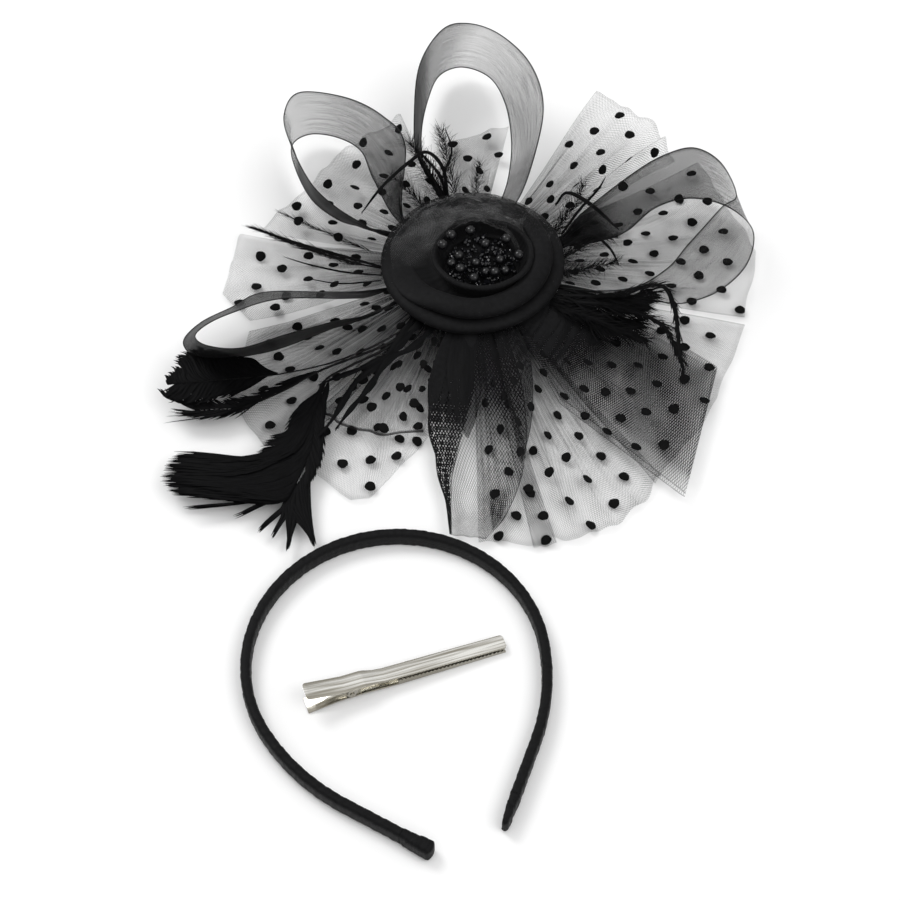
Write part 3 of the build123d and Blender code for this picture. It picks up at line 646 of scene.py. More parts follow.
# ------------------------------------------------------------------ ribbon loops
def ribbon_loop(label, low, top, pleat, seed, dense):
    """A loop of sheer ribbon standing on edge, gathered at the hub, with a fine cord in both edges.

    low and top are its two edges, and dense is how close it looks at its start, middle and end.
    """
    dice = np.random.default_rng(seed)
    count = LOOP_POINTS
    lower = smooth_line(low, count)
    upper = smooth_line(top, count)
    across = 34
    t = np.linspace(0, 1, across)[None, :, None]
    grid = lower[:, None] * (1 - t) + upper[:, None] * t
    way = turns(grid.mean(1))
    normal = unit(np.cross(way, unit(upper - lower)))
    s = np.linspace(0, 1, count)
    near = 1 - ease(np.minimum(s, 1 - s), 0.03, 0.24)
    folds = np.sin(2 * math.pi * 2.6 * t[0, :, 0] + dice.uniform(0, 6.28))[None, :]
    soft = np.sin(2 * math.pi * (1.6 * s + dice.uniform(0, 1)))[:, None]
    soft = soft * np.sin(math.pi * t[0, :, 0])[None, :]
    slow = np.sin(2 * math.pi * (3.2 * s + dice.uniform(0, 1)))[:, None]
    slow = slow * np.sin(2 * math.pi * t[0, :, 0] + 1.1)[None, :]
    shift = pleat * near[:, None] * folds + 0.8 * soft + 0.35 * slow
    grid = grid + normal[:, None] * shift[:, :, None]
    grid[:, :, 2] = np.maximum(grid[:, :, 2], 1.2)
    width, reach = RIBBON_WIDTH, length_of(grid.mean(1))
    u = np.linspace(0, width, across)
    v = np.linspace(0, reach, count)
    tall = np.linalg.norm(np.diff(grid, axis=1), axis=2).sum(1)
    start, middle, finish = dense
    density = (start, start, start * 0.9 + 0.1, middle, finish, finish, finish)
    body = np.interp(s, (0.0, 0.12, 0.36, 0.5, 0.64, 0.88, 1.0), density)
    gather = np.clip(width / np.maximum(tall, 1.0), 1.0, 1.7)[:, None] * body[:, None] * np.ones((1, across))
    border = np.zeros((count, across))
    border[:, 0] = border[:, -1] = 0.9
    border[:, 1] = border[:, -2] = 0.35
    piece = woven(label + "_ribbon", grid, organza, u, v, "organza_ribbon", gather, border)
    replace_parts(piece, label)
    edges = merged([tube_data(grid[:, side], CORD_RADIUS, 6) for side in (0, -1)])
    cords = made(label + "_edge_cords", edges[0], edges[2], cord_black, edges[1], slot="organza_ribbon")


ribbon_loop(
    "ribbon_loop_back",
    [
        (-5, 17, 11.2), (-12, 40, 11.4), (-22, 62, 11), (-23, 82, 9), (-20, 105, 8), (-15, 121, 8),
        (-4, 127, 8), (9, 120, 8), (16, 103, 8), (19, 79, 8), (18, 60, 9), (14, 41, 11.4), (6, 17, 11.2)
    ],
    [
        (-6, 17, 11.8), (-15, 40, 12.6), (-25, 55, 24), (-26, 73, 34), (-23, 96, 41), (-13, 116, 43),
        (-1, 120, 43), (13, 113, 43), (26, 95, 43), (32, 71, 43), (30, 50, 38), (22, 40, 12.8),
        (8, 17, 11.8)
    ],
    1.3, 31, (1.7, 0.62, 0.85)
)
ribbon_loop(
    "ribbon_loop_back_left",
    [
        (-14, 10, 11.2), (-36, 19, 11.4), (-50, 24, 10), (-61, 30, 8), (-73, 42, 8), (-81, 62, 8),
        (-83, 76, 8), (-75, 83, 8), (-62, 81, 8), (-51, 72, 8), (-45, 54, 8), (-32, 26, 11.4),
        (-13, 15, 11.2)
    ],
    [
        (-14, 10, 11.8), (-37, 17, 12.8), (-47, 8, 30), (-60, 11, 38), (-71, 23, 40), (-80, 44, 42),
        (-84, 62, 42.5), (-78, 76, 42.5), (-57, 73, 42.5), (-40, 61, 42.5), (-30, 46, 40), (-31, 27, 13),
        (-12, 15, 11.8)
    ],
    1.2, 32, (2.3, 0.66, 0.95)
)
ribbon_loop(
    "ribbon_loop_right",
    [
        (18, 6, 11.2), (40, 11, 11.4), (57, 15, 11), (70, 23, 8), (84, 37, 8), (100, 43, 8), (117, 38, 8),
        (127, 24, 8), (123, 5, 8), (111, -10, 8), (96, -18, 8), (83, -19, 9), (41, -12, 11.4),
        (18, -6, 11.2)
    ],
    [
        (18, 6, 11.8), (39, 15, 12.8), (48, 16, 28), (71, 27, 42), (86, 38, 42.5), (99, 42, 42.5),
        (110, 33, 42.5), (115, 14, 42.5), (108, 7, 42.5), (93, -13, 42.5), (82, -28, 42), (66, -32, 34),
        (41, -14, 12.8), (18, -8, 11.8)
    ],
    1.4, 33, (1.2, 0.6, 0.5)
)
ribbon_loop(
    "ribbon_loop_left",
    [
        (-17, -5, 11.2), (-41, -14, 12), (-66, -16, 13), (-92, -17, 13), (-105, -25, 13), (-118, -33, 13),
        (-125, -43, 13), (-121, -51, 13), (-112, -53, 13), (-96, -51, 13), (-77, -45, 13), (-42, -26, 12),
        (-17, -10, 11.2)
    ],
    [
        (-17, -5, 11.8), (-42, -17, 13), (-54, -36, 33), (-83, -41, 38), (-102, -48, 38), (-112, -54, 38),
        (-116.5, -60.5, 38), (-111, -65.5, 38), (-97, -66.5, 38), (-79, -59.5, 38), (-60, -51, 35),
        (-42, -28, 13), (-17, -10, 11.8)
    ],
    1.0, 34, (1.75, 1.6, 1.75)
)


# ------------------------------------------------------------------ folded nets
def folded_net(label, sections, heights, material, seed, dark_to, weigh):
    """Net folded double. A section runs from the top layer's free edge, round the fold, to the lower edge."""
    dice = np.random.default_rng(seed)
    rows = np.array([even(section, NET_POINTS) for section in sections])
    count = NET_POINTS
    step = np.linspace(0, len(rows) - 1, count)
    grid = np.zeros((count, NET_POINTS, 3))
    for j in range(NET_POINTS):
        for k in range(3):
            grid[:, j, k] = np.interp(step, np.arange(len(rows)), rows[:, j, k])
    blur = np.array([1, 4, 6, 4, 1]) / 16
    for _ in range(14):
        padded = np.concatenate([grid[:1], grid[:1], grid, grid[-1:], grid[-1:]], 0)
        grid[1:-1] = sum(b * padded[i : i + count] for i, b in enumerate(blur))[1:-1]
    s = np.linspace(0, 1, count)[:, None]
    a = np.linspace(0, 1, NET_POINTS)[None, :]
    fold = np.sin(2 * math.pi * (heights[1] * a + 0.2 * np.sin(3 * s)) + dice.uniform(0, 6.28))
    grid[:, :, 2] += heights[0] * (0.35 + 0.65 * (1 - ease(s, 0.1, 0.6))) * fold * ease(s, 0.0, 0.12)
    grid[:, :, 2] = np.maximum(grid[:, :, 2], 1.0)
    width = float(max(length_of(grid[i]) for i in range(0, count, 8)))
    reach = float(np.mean([length_of(grid[:, j]) for j in range(0, NET_POINTS, 12)]))
    u = np.linspace(-width / 2, width / 2, NET_POINTS)
    v = np.linspace(0, reach, count)
    from_hub = np.hypot(grid[:, :, 0], grid[:, :, 1])
    gather = fullness(grid, u, 2.2) * (1 + 2.6 * (1 - ease(from_hub, *dark_to))) * weigh(grid)
    border = np.zeros((count, NET_POINTS))
    border[:, 0] = border[:, -1] = 0.75
    border[-1, :] = 0.6
    piece = woven(label + "_net", grid, material, u, v, "stiff_net", gather, border)
    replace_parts(piece, label)


def hairpin(free, crease, far, low, gap):
    """A section of folded net: from the top layer's free edge to the crease, and back below to far."""
    free, crease, far = (np.array(p, float) for p in (free, crease, far))
    out = unit(crease - far)
    fold = crease - out * gap / 2
    turn = []
    for angle in np.linspace(90, -90, 7):
        a = math.radians(angle)
        turn.append((*(crease + out * (math.cos(a) - 1) * gap / 2), low + gap / 2 + math.sin(a) * gap / 2))
    top = [(*(free * (1 - t) + fold * t), low + gap) for t in np.linspace(0, 1, 8)[:-1]]
    under = [(*(fold * (1 - t) + far * t), low) for t in np.linspace(0, 1, 14)[1:]]
    return top + turn + under


front_sections = [
    hairpin((3, -17), (-4, -18), (5, -18), 11.2, 1.2),
    hairpin((2, -45), (-15, -46), (17, -45), 10.6, 1.8),
    hairpin((0, -68), (-20, -66), (22, -68), 9.2, 2.4),
    hairpin((-4.5, -90), (-20, -88), (23, -92), 7.4, 2.6),
    hairpin((-9, -110), (-16, -108), (20, -112), 5.8, 2.4),
    hairpin((-9.2, -128), (-11, -128), (13, -130), 4.6, 2.0),
    hairpin((-9, -137), (-10, -137), (5, -139), 4.0, 1.0),
]


def front_weight(grid):
    """Dense beside the crease, where the net lies double, open in the middle, closer on the right."""
    x, y = grid[:, :, 0], grid[:, :, 1]
    left = np.interp(y, (-137, -128, -112, -90, -68, -45), (-9, -9.5, -10, -4.5, 0, 2))
    right = np.interp(y, (-137, -120, -60), (8, 6, 5))
    return 0.5 + 1.25 * (1 - ease(x, left - 0.6, left + 0.6)) + 0.5 * ease(x, right - 0.8, right + 0.8)


folded_net("net_fold_front", front_sections, (0.9, 3.0), stiff_net, 41, (48, 92), front_weight)

side_sections = []
top_root, bottom_root = np.array((15.0, -9.0)), np.array((12.0, -17.0))
top_mid, bottom_mid = np.array((56.0, -18.0)), np.array((37.0, -73.0))
top_out, bottom_out = np.array((106.0, -53.0)), np.array((88.0, -119.0))
for share in np.linspace(0, 1, 9):
    root = top_root * (1 - share) + bottom_root * share
    middle = top_mid * (1 - share) + bottom_mid * share
    middle = middle + np.array((2.0, -1.0)) * math.sin(math.pi * share)
    outer = top_out * (1 - share) + bottom_out * share
    out = unit(outer - middle)
    inward, outward = root * 0.5 + middle * 0.5, middle * 0.5 + outer * 0.5
    line = [(*root, 11.8), (*inward, 12.4), (*middle, 11.6), (*outward, 9.6)]
    for angle in np.linspace(90, -90, 7):
        a = math.radians(angle)
        line.append((*(outer + out * (math.cos(a) - 1) * 1.7), 5.6 + 1.7 * math.sin(a)))
    line += [(*outward, 5.4), (*middle, 7.0), (*(root * 0.4 + middle * 0.6), 9.6), (*root, 10.8)]
    side_sections.append(line)


def side_weight(grid):
    """Open along the lower edge, where the net lies single."""
    return 1.0 - 0.5 * ease(np.linspace(0, 1, len(grid)), 0.84, 0.89)[:, None]


folded_net("net_fold_right", side_sections, (0.5, 2.0), dark_net, 42, (42, 78), side_weight)


def petal(label, left, right, seed, dense):
    """A small dark petal of the sheer ribbon, cupped, standing out from under the brim."""
    dice = np.random.default_rng(seed)
    count, across = 70, 26
    one, two = smooth_line(left, count), smooth_line(right, count)
    t = np.linspace(0, 1, across)[None, :, None]
    grid = one[:, None] * (1 - t) + two[:, None] * t
    s = np.linspace(0, 1, count)[:, None]
    grid[:, :, 2] += np.sin(math.pi * t[:, :, 0]) * 1.8 * np.sin(math.pi * np.clip(s * 1.05, 0, 1))
    grid[:, :, 2] += 0.3 * np.sin(2 * math.pi * 2.5 * t[:, :, 0] + dice.uniform(0, 6)) * (1 - s)
    u, v = np.linspace(0, PETAL_WIDTH, across), np.linspace(0, length_of(grid.mean(1)), count)
    gather = dense * (1.25 - 0.45 * s) * np.ones((1, across))
    border = np.zeros((count, across))
    border[:, 0] = border[:, -1] = 0.9
    piece = woven(label, grid, organza, u, v, "organza_ribbon", gather, border)


petal("front_petal_right", [(9, -36, 11.6), (12, -55, 13), (16, -82, 11.5), (19.5, -104, 8.6)],
      [(20, -36, 11.8), (25, -55, 13.2), (25, -82, 11.5), (20.5, -104.5, 8.6)], 43, 1.25)
petal("front_petal_left", [(-8, -36, 11.6), (-11, -58, 12.6), (-8, -80, 11.4), (-3, -92, 9.6)],
      [(3, -36, 11.8), (4.5, -58, 12.8), (2, -80, 11.4), (-2, -92.5, 9.6)], 44, 1.3)


# ------------------------------------------------------------------ feathers
def barbs(starts, ends, count, lead, tail, width, height, seed, spread=1.0, bow=0.0):
    """Barbs from one line to another, each a tapering strip with its own small stray."""
    dice = np.random.default_rng(seed)
    parts = []
    for k in range(count):
        share = np.clip((k + dice.uniform(-0.8, 0.8)) / max(count - 1, 1), 0, 1)
        start = along_line(starts, share)
        end = along_line(ends, share) + dice.normal(0, spread, 2)
        gap = np.linalg.norm(end - start)
        way = unit(lead)
        finish = unit(end - start if tail is None else tail)
        low = height[0] + dice.uniform(0, 0.8)
        high = height[1] + dice.uniform(-0.5, 1.3)
        path = curve_to(
            (*start, low), (*(way * gap * 0.4), 0.2), (*end, high),
            (*(finish * gap * 0.35), bow * dice.uniform(0.5, 1)), 9
        )
        shape = np.sin(np.linspace(0.35, math.pi, len(path))) ** 0.6
        parts.append(blade(path, dice.uniform(*width) * np.maximum(shape, 0.04)))
    return parts


def plume(line, reach, count, angle, width, seed, curl=0.4, rise=0.8, start=0.1, stray=0.22):
    """Loose barbs all along a shaft, sweeping towards its tip."""
    dice = np.random.default_rng(seed)
    path = smooth_line(line, 80)
    way = turns(path)
    parts = []
    for k in range(count):
        share = start + (1 - start) * (k + dice.uniform(0, 1)) / count
        at = min(int(share * 79), 79)
        point, ahead = path[at], way[at]
        side = unit(np.cross(ahead, (0, 0, 1))) * (1 if dice.uniform() < 0.5 else -1)
        fuller = 0.55 + 0.6 * math.sin(math.pi * min(1.0, 0.12 + share * 0.85))
        size = reach * dice.uniform(0.45, 1.15) * fuller
        lean = math.radians(angle * dice.uniform(0.4, 1.6))
        lift = np.array((0, 0, dice.uniform(-0.25, 0.5) * rise))
        go = unit(ahead * math.cos(lean) + side * math.sin(lean) + lift)
        turn = unit(go + ahead * curl * dice.uniform(0.2, 1.6) + dice.normal(0, stray, 3))
        end = point + go * size * 0.55 + turn * size * 0.5
        end[2] = max(end[2], 1.5)
        strip = curve_to(point, go * size * 0.35, end, turn * size * 0.3, 8)
        parts.append(blade(strip, dice.uniform(*width) * np.linspace(1, 0.1, 8) ** 0.7))
    return parts


def shaft(line, thick, thin, count=60):
    """A quill's bare shaft, thinning towards its tip."""
    return tube_data(smooth_line(line, count), np.linspace(thick, thin, count))


def spike(line, width, count=60):
    """A stripped barb: a long dark blade with a stiff ridge, ending in a point."""
    path = smooth_line(line, count)
    return blade(path, width * np.sin(np.linspace(0.6, math.pi - 0.03, count)) ** 0.55, ridge=0.4)


def feather_piece(label, shafts, parts, material):
    """One feather: its shafts stand for the quill node, and its barbs for the vane node."""
    stems = merged(shafts)
    stem = made(label + "_shaft", stems[0], stems[2], quill, stems[1], slot="quill")
    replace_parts(stem, label + "_quill")
    points, uv, faces = merged(parts)
    vane = made(label + "_barbs", points, faces, material, uv, slot="feather")
    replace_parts(vane, label + "_vane")


def bare_barbs(name, node, strips):
    """Stripped barbs that are a node of their own."""
    points, uv, faces = merged(strips)
    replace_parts(made(name, points, faces, feather, uv, slot="quill"), node)


left_upper = [
    (-17, -17, 11.6), (-31, -37, 12), (-56, -53, 12.5), (-83, -61.5, 13), (-108, -65, 13.5),
    (-130, -67, 13)
]
left_lower = [
    (-16, -18, 11.4), (-31, -40, 11.4), (-65, -57.5, 10.6), (-81, -68, 9.8), (-100, -77, 9.2),
    (-116, -78, 9.2), (-131, -70, 9.6)
]
parts = barbs(
    [(-83, -61.5), (-100, -64), (-118, -66), (-129, -67)],
    [(-97, -55), (-106, -52), (-119, -48.5), (-126, -51), (-127, -58), (-130, -66)], 210, (-1, 0.25),
    (-1, 0.12), (0.9, 1.5), (13, 13.6), 51, 0.9
)
parts += barbs(
    [(-84, -60.6), (-104, -63.4), (-124, -65.6)],
    [(-98, -69), (-108, -73), (-118, -76), (-126, -75), (-132, -71)], 150, (-1, -0.2), (-1, -0.1),
    (0.8, 1.4), (12.6, 12.4), 52, 0.8
)
parts += barbs(
    [(-66, -58), (-81, -68), (-100, -77), (-116, -78), (-128, -72)],
    [(-78, -63), (-96, -72), (-114, -74), (-126, -71), (-133, -68)], 120, (-1, -0.3), None, (0.7, 1.2),
    (10, 10.2), 53, 0.7
)
parts += barbs(
    [(-84, -69.5), (-100, -77.5), (-116, -78.5)], [(-100, -80), (-116, -82), (-128, -78)], 70, (-1, -0.4),
    None, (0.6, 1.0), (9.4, 8.6), 54, 1.0
)
parts += barbs(
    [(-100, -77), (-110, -78.5)], [(-126, -84), (-130, -80)], 5, (-1, -0.5), None, (0.4, 0.7), (9, 8), 55,
    1.5
)
feather_piece(
    "coque_feather_left", [shaft(left_upper, 0.55, 0.15), shaft(left_lower, 0.75, 0.2)], parts, feather
)

front_line = [
    (-12, -20, 11.4), (-35, -44, 11), (-52, -54, 9.6), (-64, -62, 8.2), (-67, -76, 7.4), (-68, -96, 7),
    (-73, -112, 6.8), (-77, -121, 6.6)
]
stem_line = [(-64, -62), (-67, -76), (-68, -96), (-73, -112), (-76, -119)]
parts = barbs(
    stem_line,
    [
        (-84, -90), (-92, -102), (-104, -104.5), (-117, -104), (-125, -100), (-128, -106), (-129, -113),
        (-125, -119), (-108, -122), (-92, -123)
    ],
    460, (-0.25, -1), (-1, -0.04), (1.2, 2.0), (7.2, 8.2), 61, 0.55
)
parts += barbs(stem_line, [(-86, -103), (-100, -110), (-118, -112), (-127, -113), (-112, -118), (-92, -121)],
               320, (-0.3, -1), (-1, 0.0), (1.2, 2.0), (7.6, 9.2), 62, 0.9)
parts += barbs(
    [(-62, -61), (-67, -76), (-68, -92), (-70, -104)], [(-65, -76), (-63, -90), (-64, -104), (-69, -117)],
    130, (0.15, -1), (-0.02, -1), (0.9, 1.5), (7.2, 6.8), 63, 0.6
)
parts += barbs(
    [(-63, -61), (-67, -76), (-68, -92)], [(-76, -78), (-80, -92), (-86, -106)], 130, (-0.2, -1),
    (-0.5, -1), (0.9, 1.5), (7.4, 7.6), 64, 0.8
)
for order, (tip, count) in enumerate(
    [((-65, -144), 30), ((-76, -146), 26), ((-82, -140), 16), ((-88, -137), 18)]
):
    spot = np.array(tip, float)
    parts += barbs(
        [(-68, -104), (-73, -114), (-78, -120)], [spot + (0.3, 1.6), spot + (-0.4, 0.2)], count, (0.0, -1),
        unit(spot - np.array((-72.0, -114.0))), (0.8, 1.3), (6.8, 5.4), 70 + order, 0.45
    )
parts += barbs(
    [(-80, -121), (-90, -122.5)], [(-120, -126), (-112, -125)], 16, (-1, -0.2), None, (0.7, 1.2),
    (6.6, 6.4), 75, 0.5
)
parts += barbs(
    [(-80, -122), (-86, -123)], [(-100, -130), (-96, -129)], 8, (-1, -0.3), None, (0.6, 1.0), (6.4, 6.2),
    76, 0.5
)
feather_piece("coque_feather_front_left", [shaft(front_line, 0.8, 0.2)], parts, feather)

biot_paths = [
    [
        (-18.5, -15.5, 11.4), (-31, -40, 11.8), (-39, -53, 11), (-49, -62, 10), (-54, -71, 9.6),
        (-59, -82, 9.4), (-65, -91, 9)
    ],
    [(-15, -19, 11.4), (-33, -46, 11), (-48, -56, 10), (-58, -60, 9), (-66, -64, 8.6)],
    [(-9, -21, 11.4), (-24, -44, 11.6), (-36, -52, 11), (-44, -66, 10.2), (-52, -78, 9.8), (-58, -88, 9.4)]
]
parts = []
for k, line in enumerate(biot_paths):
    path = smooth_line(line, 70)
    body = np.sin(np.linspace(0.5, math.pi - 0.05, 70)) ** 0.5
    wobble = 1 + 0.25 * np.sin(np.linspace(0, 26 + 5 * k, 70) + k)
    parts.append(blade(path, 3.3 * body * wobble, ridge=0.3))
    parts += plume(line, 4.2, 90, 26, (0.3, 0.6), 80 + k, 0.8, 0.4, 0.05)
bare_barbs("biot_strips_barbs", "biot_strips", parts)

back_line = [(-8, 18, 11.6), (-14, 41, 13), (-22, 50, 24), (-28, 58, 29)]
parts = plume(back_line, 11, 330, 40, (0.14, 0.32), 91, 0.25, 1.2, 0.3, 0.5)
parts += plume(
    [(-4, 20, 11.8), (-8, 41, 14), (-12, 54, 27), (-14, 64, 31)], 10, 240, 36, (0.14, 0.3), 92, 0.25, 1.2,
    0.4, 0.5
)
parts += plume(
    [(-12, 20, 11.8), (-24, 36, 14), (-36, 42, 24)], 9, 150, 38, (0.14, 0.3), 93, 0.25, 1.0, 0.35, 0.5
)
parts += plume([(0, 24, 12), (2, 42, 15), (4, 50, 24)], 7, 110, 44, (0.14, 0.28), 192, 0.2, 1.0, 0.4, 0.6)
parts += [spike([(-12, 38, 14), (-14, 44, 22), (-20, 51, 24), (-26, 60, 24)], 1.2)]
parts += [spike([(-10, 36, 14), (-12, 43, 24), (-9, 52, 30), (-12, 64, 32)], 1.0)]
feather_piece("marabou_feather_back", [shaft(back_line, 0.6, 0.12)], parts, fluff)

left_line = [(-18, -1, 11.6), (-42, -2, 12.6), (-72, 7, 14.5), (-98, 19, 15)]
parts = plume(left_line, 9, 330, 13, (0.14, 0.34), 94, 0.8, 0.35, 0.35, 0.2)
parts += plume(
    [(-20, 4, 11.8), (-42, 6, 13), (-66, 16, 16), (-86, 27, 16)], 7, 170, 13, (0.12, 0.28), 95, 0.8, 0.35,
    0.35, 0.2
)
parts += [spike([(-40, -2, 13), (-60, 4, 14.5), (-80, 11, 15), (-99, 20, 15)], 1.7)]
parts += [spike([(-40, -6, 12), (-56, -5, 13), (-72, -1, 13.4), (-84, 4, 13)], 1.1)]
parts += [spike([(-40, -9, 12), (-58, -11, 12.4), (-74, -8, 12.6)], 0.9)]
feather_piece("hackle_feather_left", [shaft(left_line, 0.5, 0.12)], parts, fluff)

right_line = [(18, 0, 11.6), (41, 4, 13), (54, 6, 22), (64, 4, 26)]
parts = plume(right_line, 8, 240, 40, (0.16, 0.36), 96, 0.25, 1.1, 0.3, 0.55)
parts += plume(
    [(20, 8, 11.8), (37, 19, 13), (46, 27, 22), (50, 36, 25)], 8, 200, 36, (0.16, 0.34), 97, 0.25, 1.1,
    0.3, 0.55
)
parts += plume(
    [(20, -2, 11.8), (42, -6, 14), (56, -8, 21), (64, -8, 23)], 9, 240, 40, (0.16, 0.36), 98, 0.25, 1.0,
    0.3, 0.55
)
parts += plume(
    [(20, 4, 11.8), (40, 12, 14), (52, 18, 22)], 8, 200, 42, (0.16, 0.34), 196, 0.25, 1.0, 0.3, 0.6
)
parts += [spike([(38, 32, 16), (43, 31, 25), (53, 22, 27), (65, 8, 26)], 2.3)]
parts += [spike([(40, 16, 14), (48, 22, 24), (56, 30, 28), (60, 38, 28)], 1.4)]
parts += [spike([(40, 8, 14), (52, 8, 23), (60, 0, 24), (64, -9, 23)], 1.6)]
feather_piece("marabou_feather_right", [shaft(right_line, 0.6, 0.12)], parts, fluff)

strand = [
    (19, -10, 11.6), (40, -18, 13), (60, -23, 19), (81, -19, 21), (87, -31, 21), (88, -51, 20),
    (89, -69, 20)
]
second = [(20, -12, 11.6), (40, -21, 13), (62, -29, 19), (80, -39, 20), (86, -50, 20), (89, -60, 20)]
third = [(20, -14, 11.6), (40, -26, 13), (54, -35, 17), (66, -42, 17), (74, -46, 16)]
parts = plume(strand, 6, 260, 18, (0.35, 0.7), 99, 0.9, 0.35, 0.2, 0.2)
parts += plume(second, 8, 330, 24, (0.35, 0.75), 100, 0.8, 0.35, 0.2, 0.25)
parts += plume(third, 10, 360, 26, (0.35, 0.8), 199, 0.7, 0.35, 0.2, 0.3)
parts += barbs(
    [(40, -16), (54, -20), (66, -22)], [(66, -34), (76, -33), (82, -22)], 150, (1, -0.2), (0.9, -0.5),
    (0.8, 1.5), (14, 19), 151, 2.0
)
parts += barbs(
    [(40, -20), (52, -28), (60, -34)], [(60, -46), (68, -44), (76, -38)], 130, (1, -0.4), (0.8, -0.6),
    (0.7, 1.3), (14, 16), 152, 2.0
)
parts += [spike(strand[1:], 2.2, 80), spike(second[1:], 1.9, 80)]
feather_piece("coque_feather_right", [shaft(strand, 0.65, 0.15), shaft(second, 0.5, 0.12)], parts, feather)

curl_line = [(-11, 40, 13), (-13, 45, 26), (-20, 50, 31), (-28, 45, 30), (-40, 33, 27), (-49, 18, 26)]
strips = [spike(curl_line, 2.0, 90)]
strips += plume(curl_line, 2.6, 110, 20, (0.2, 0.4), 101, 0.8, 0.3, 0.1, 0.2)
strips += [spike([(-10, 38, 13), (-15, 43, 24), (-20, 51, 25), (-27, 60, 25)], 1.3)]
bare_barbs("curled_biot_barbs", "curled_biot", strips)


# ------------------------------------------------------------------ rosette
def uneven(angle, seed, lobes=(2, 3, 5, 8)):
    """A slow, seeded wander round a circle, between about -1 and 1."""
    dice = np.random.default_rng(seed)
    return sum(math.sin(k * angle + dice.uniform(0, 6.28)) / (1 + 0.35 * k) for k in lobes) * 0.8


def ring_sheet(node, section, slot="crin_mesh", wander=0.0, pleat=0.0, pleats=70, seed=1, count=480):
    """A closed ring of mesh that stands for a node.

    section(angle) gives its points in radius and height, its centre in plan, and how close the mesh is.
    """
    rows, uv, thick = [], [], []
    far, mean_radius = 0.0, 34
    for i in range(count + 1):
        angle = 2 * math.pi * i / count
        line, centre, dense = section(angle)
        line = even(line, RING_POINTS)
        way = turns(line)
        out = np.stack([-way[:, 1], way[:, 0]], 1)
        swing = 1.9 * math.sin(3 * angle + seed) + 1.3 * math.sin(7 * angle + 2 * seed)
        crease = pleat * (
            math.sin(pleats * angle + swing) + 0.8 * math.sin(round(pleats * 0.43) * angle - swing)
        )
        line = line + out * crease * np.sin(np.linspace(0, math.pi, RING_POINTS))[:, None] ** 0.5
        push = wander * uneven(angle, seed)
        lift = wander * uneven(angle, seed + 1)
        x = centre[0] + (line[:, 0] + push) * math.cos(angle)
        y = centre[1] + (line[:, 0] + push) * math.sin(angle)
        rows.append(np.stack([x, y, line[:, 1] + lift * 0.7], 1))
        uv.append([(k * length_of(line) / (RING_POINTS - 1), far) for k in range(RING_POINTS)])
        thick.append([dense] * RING_POINTS)
        far += 2 * math.pi * mean_radius / count
    grid = np.array(rows)
    grid[-1] = grid[0]
    edge = np.zeros(grid.shape[:2])
    edge[:, 0] = edge[:, -1] = 0.6
    faces = grid_faces(*grid.shape[:2])
    ring = made(node + "_mesh", grid, faces, crin, uv, slot=slot, gather=np.array(thick), edge=edge)
    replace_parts(ring, node)


def front_share(angle):
    """1 round the front and right of the brim, falling to 0 at the back left."""
    return 0.5 + 0.5 * math.tanh(1.8 * (math.cos(angle - math.radians(-70)) + 0.35))


def open_share(angle):
    """1 at the back of the brim, where the mesh is loose and open, 0 round the front."""
    return float(ease(math.cos(angle - math.radians(98)), 0.1, 0.75))


def left_share(angle):
    """1 at the left of the brim, where the two rolls flatten into one broad surface."""
    return float(ease(math.cos(angle - math.radians(178)), 0.35, 0.9))


def soft_loop(r, z, half_width, half_height, lean):
    """Section of a soft rolled tube: an oval that sags outwards."""
    seam = -2.6
    return [
        (r + half_width * math.cos(a) + lean * math.sin(a), z + half_height * math.sin(a))
        for a in np.linspace(seam, seam + 2 * math.pi, 60)
    ]


def outer_roll(angle):
    """The big lower roll, fuller at the front."""
    share = front_share(angle)
    loop = soft_loop(36.4 - 0.4 * (1 - share), 14.9, 3.6 + 0.9 * share, 1.5 + 1.4 * share, 0.6)
    return loop, (0, 0), 1.2 - 0.78 * open_share(angle)


def inner_roll(angle):
    """The roll that lies on it, flattened at the left."""
    share, left = front_share(angle), left_share(angle)
    wide, tall = (3.4 + 1.4 * share) * (1 + 0.3 * left), (0.9 + 2.2 * share) * (1 - 0.62 * left)
    loop = soft_loop(31.2 + 0.8 * left, 17.4 + 3.2 * share - 2.6 * left, wide, tall, -0.8)
    return loop, (0, 0), 1.2 - 0.82 * open_share(angle)


ring_sheet("brim_roll_lower", outer_roll, wander=0.35, pleat=0.035, pleats=61, seed=3)
ring_sheet("brim_roll_upper", inner_roll, wander=0.5, pleat=0.04, pleats=47, seed=5)


def funnel(angle):
    """The collar of flat net between the rolls and the cup."""
    share = front_share(angle)
    outer_z = 16.2 + 1.4 * (1 - share)
    points = [
        (18.0, 15.4), (22, 14.6), (27, 14.9 + 0.6 * (1 - share)), (33, outer_z),
        (38.5 - 3 * share, outer_z)
    ]
    return smooth_line(points, RING_POINTS), COLLAR, 1.1 - 0.45 * open_share(angle)


ring_sheet("brim_net", funnel, wander=0.4, pleat=0.14, pleats=37, seed=7)


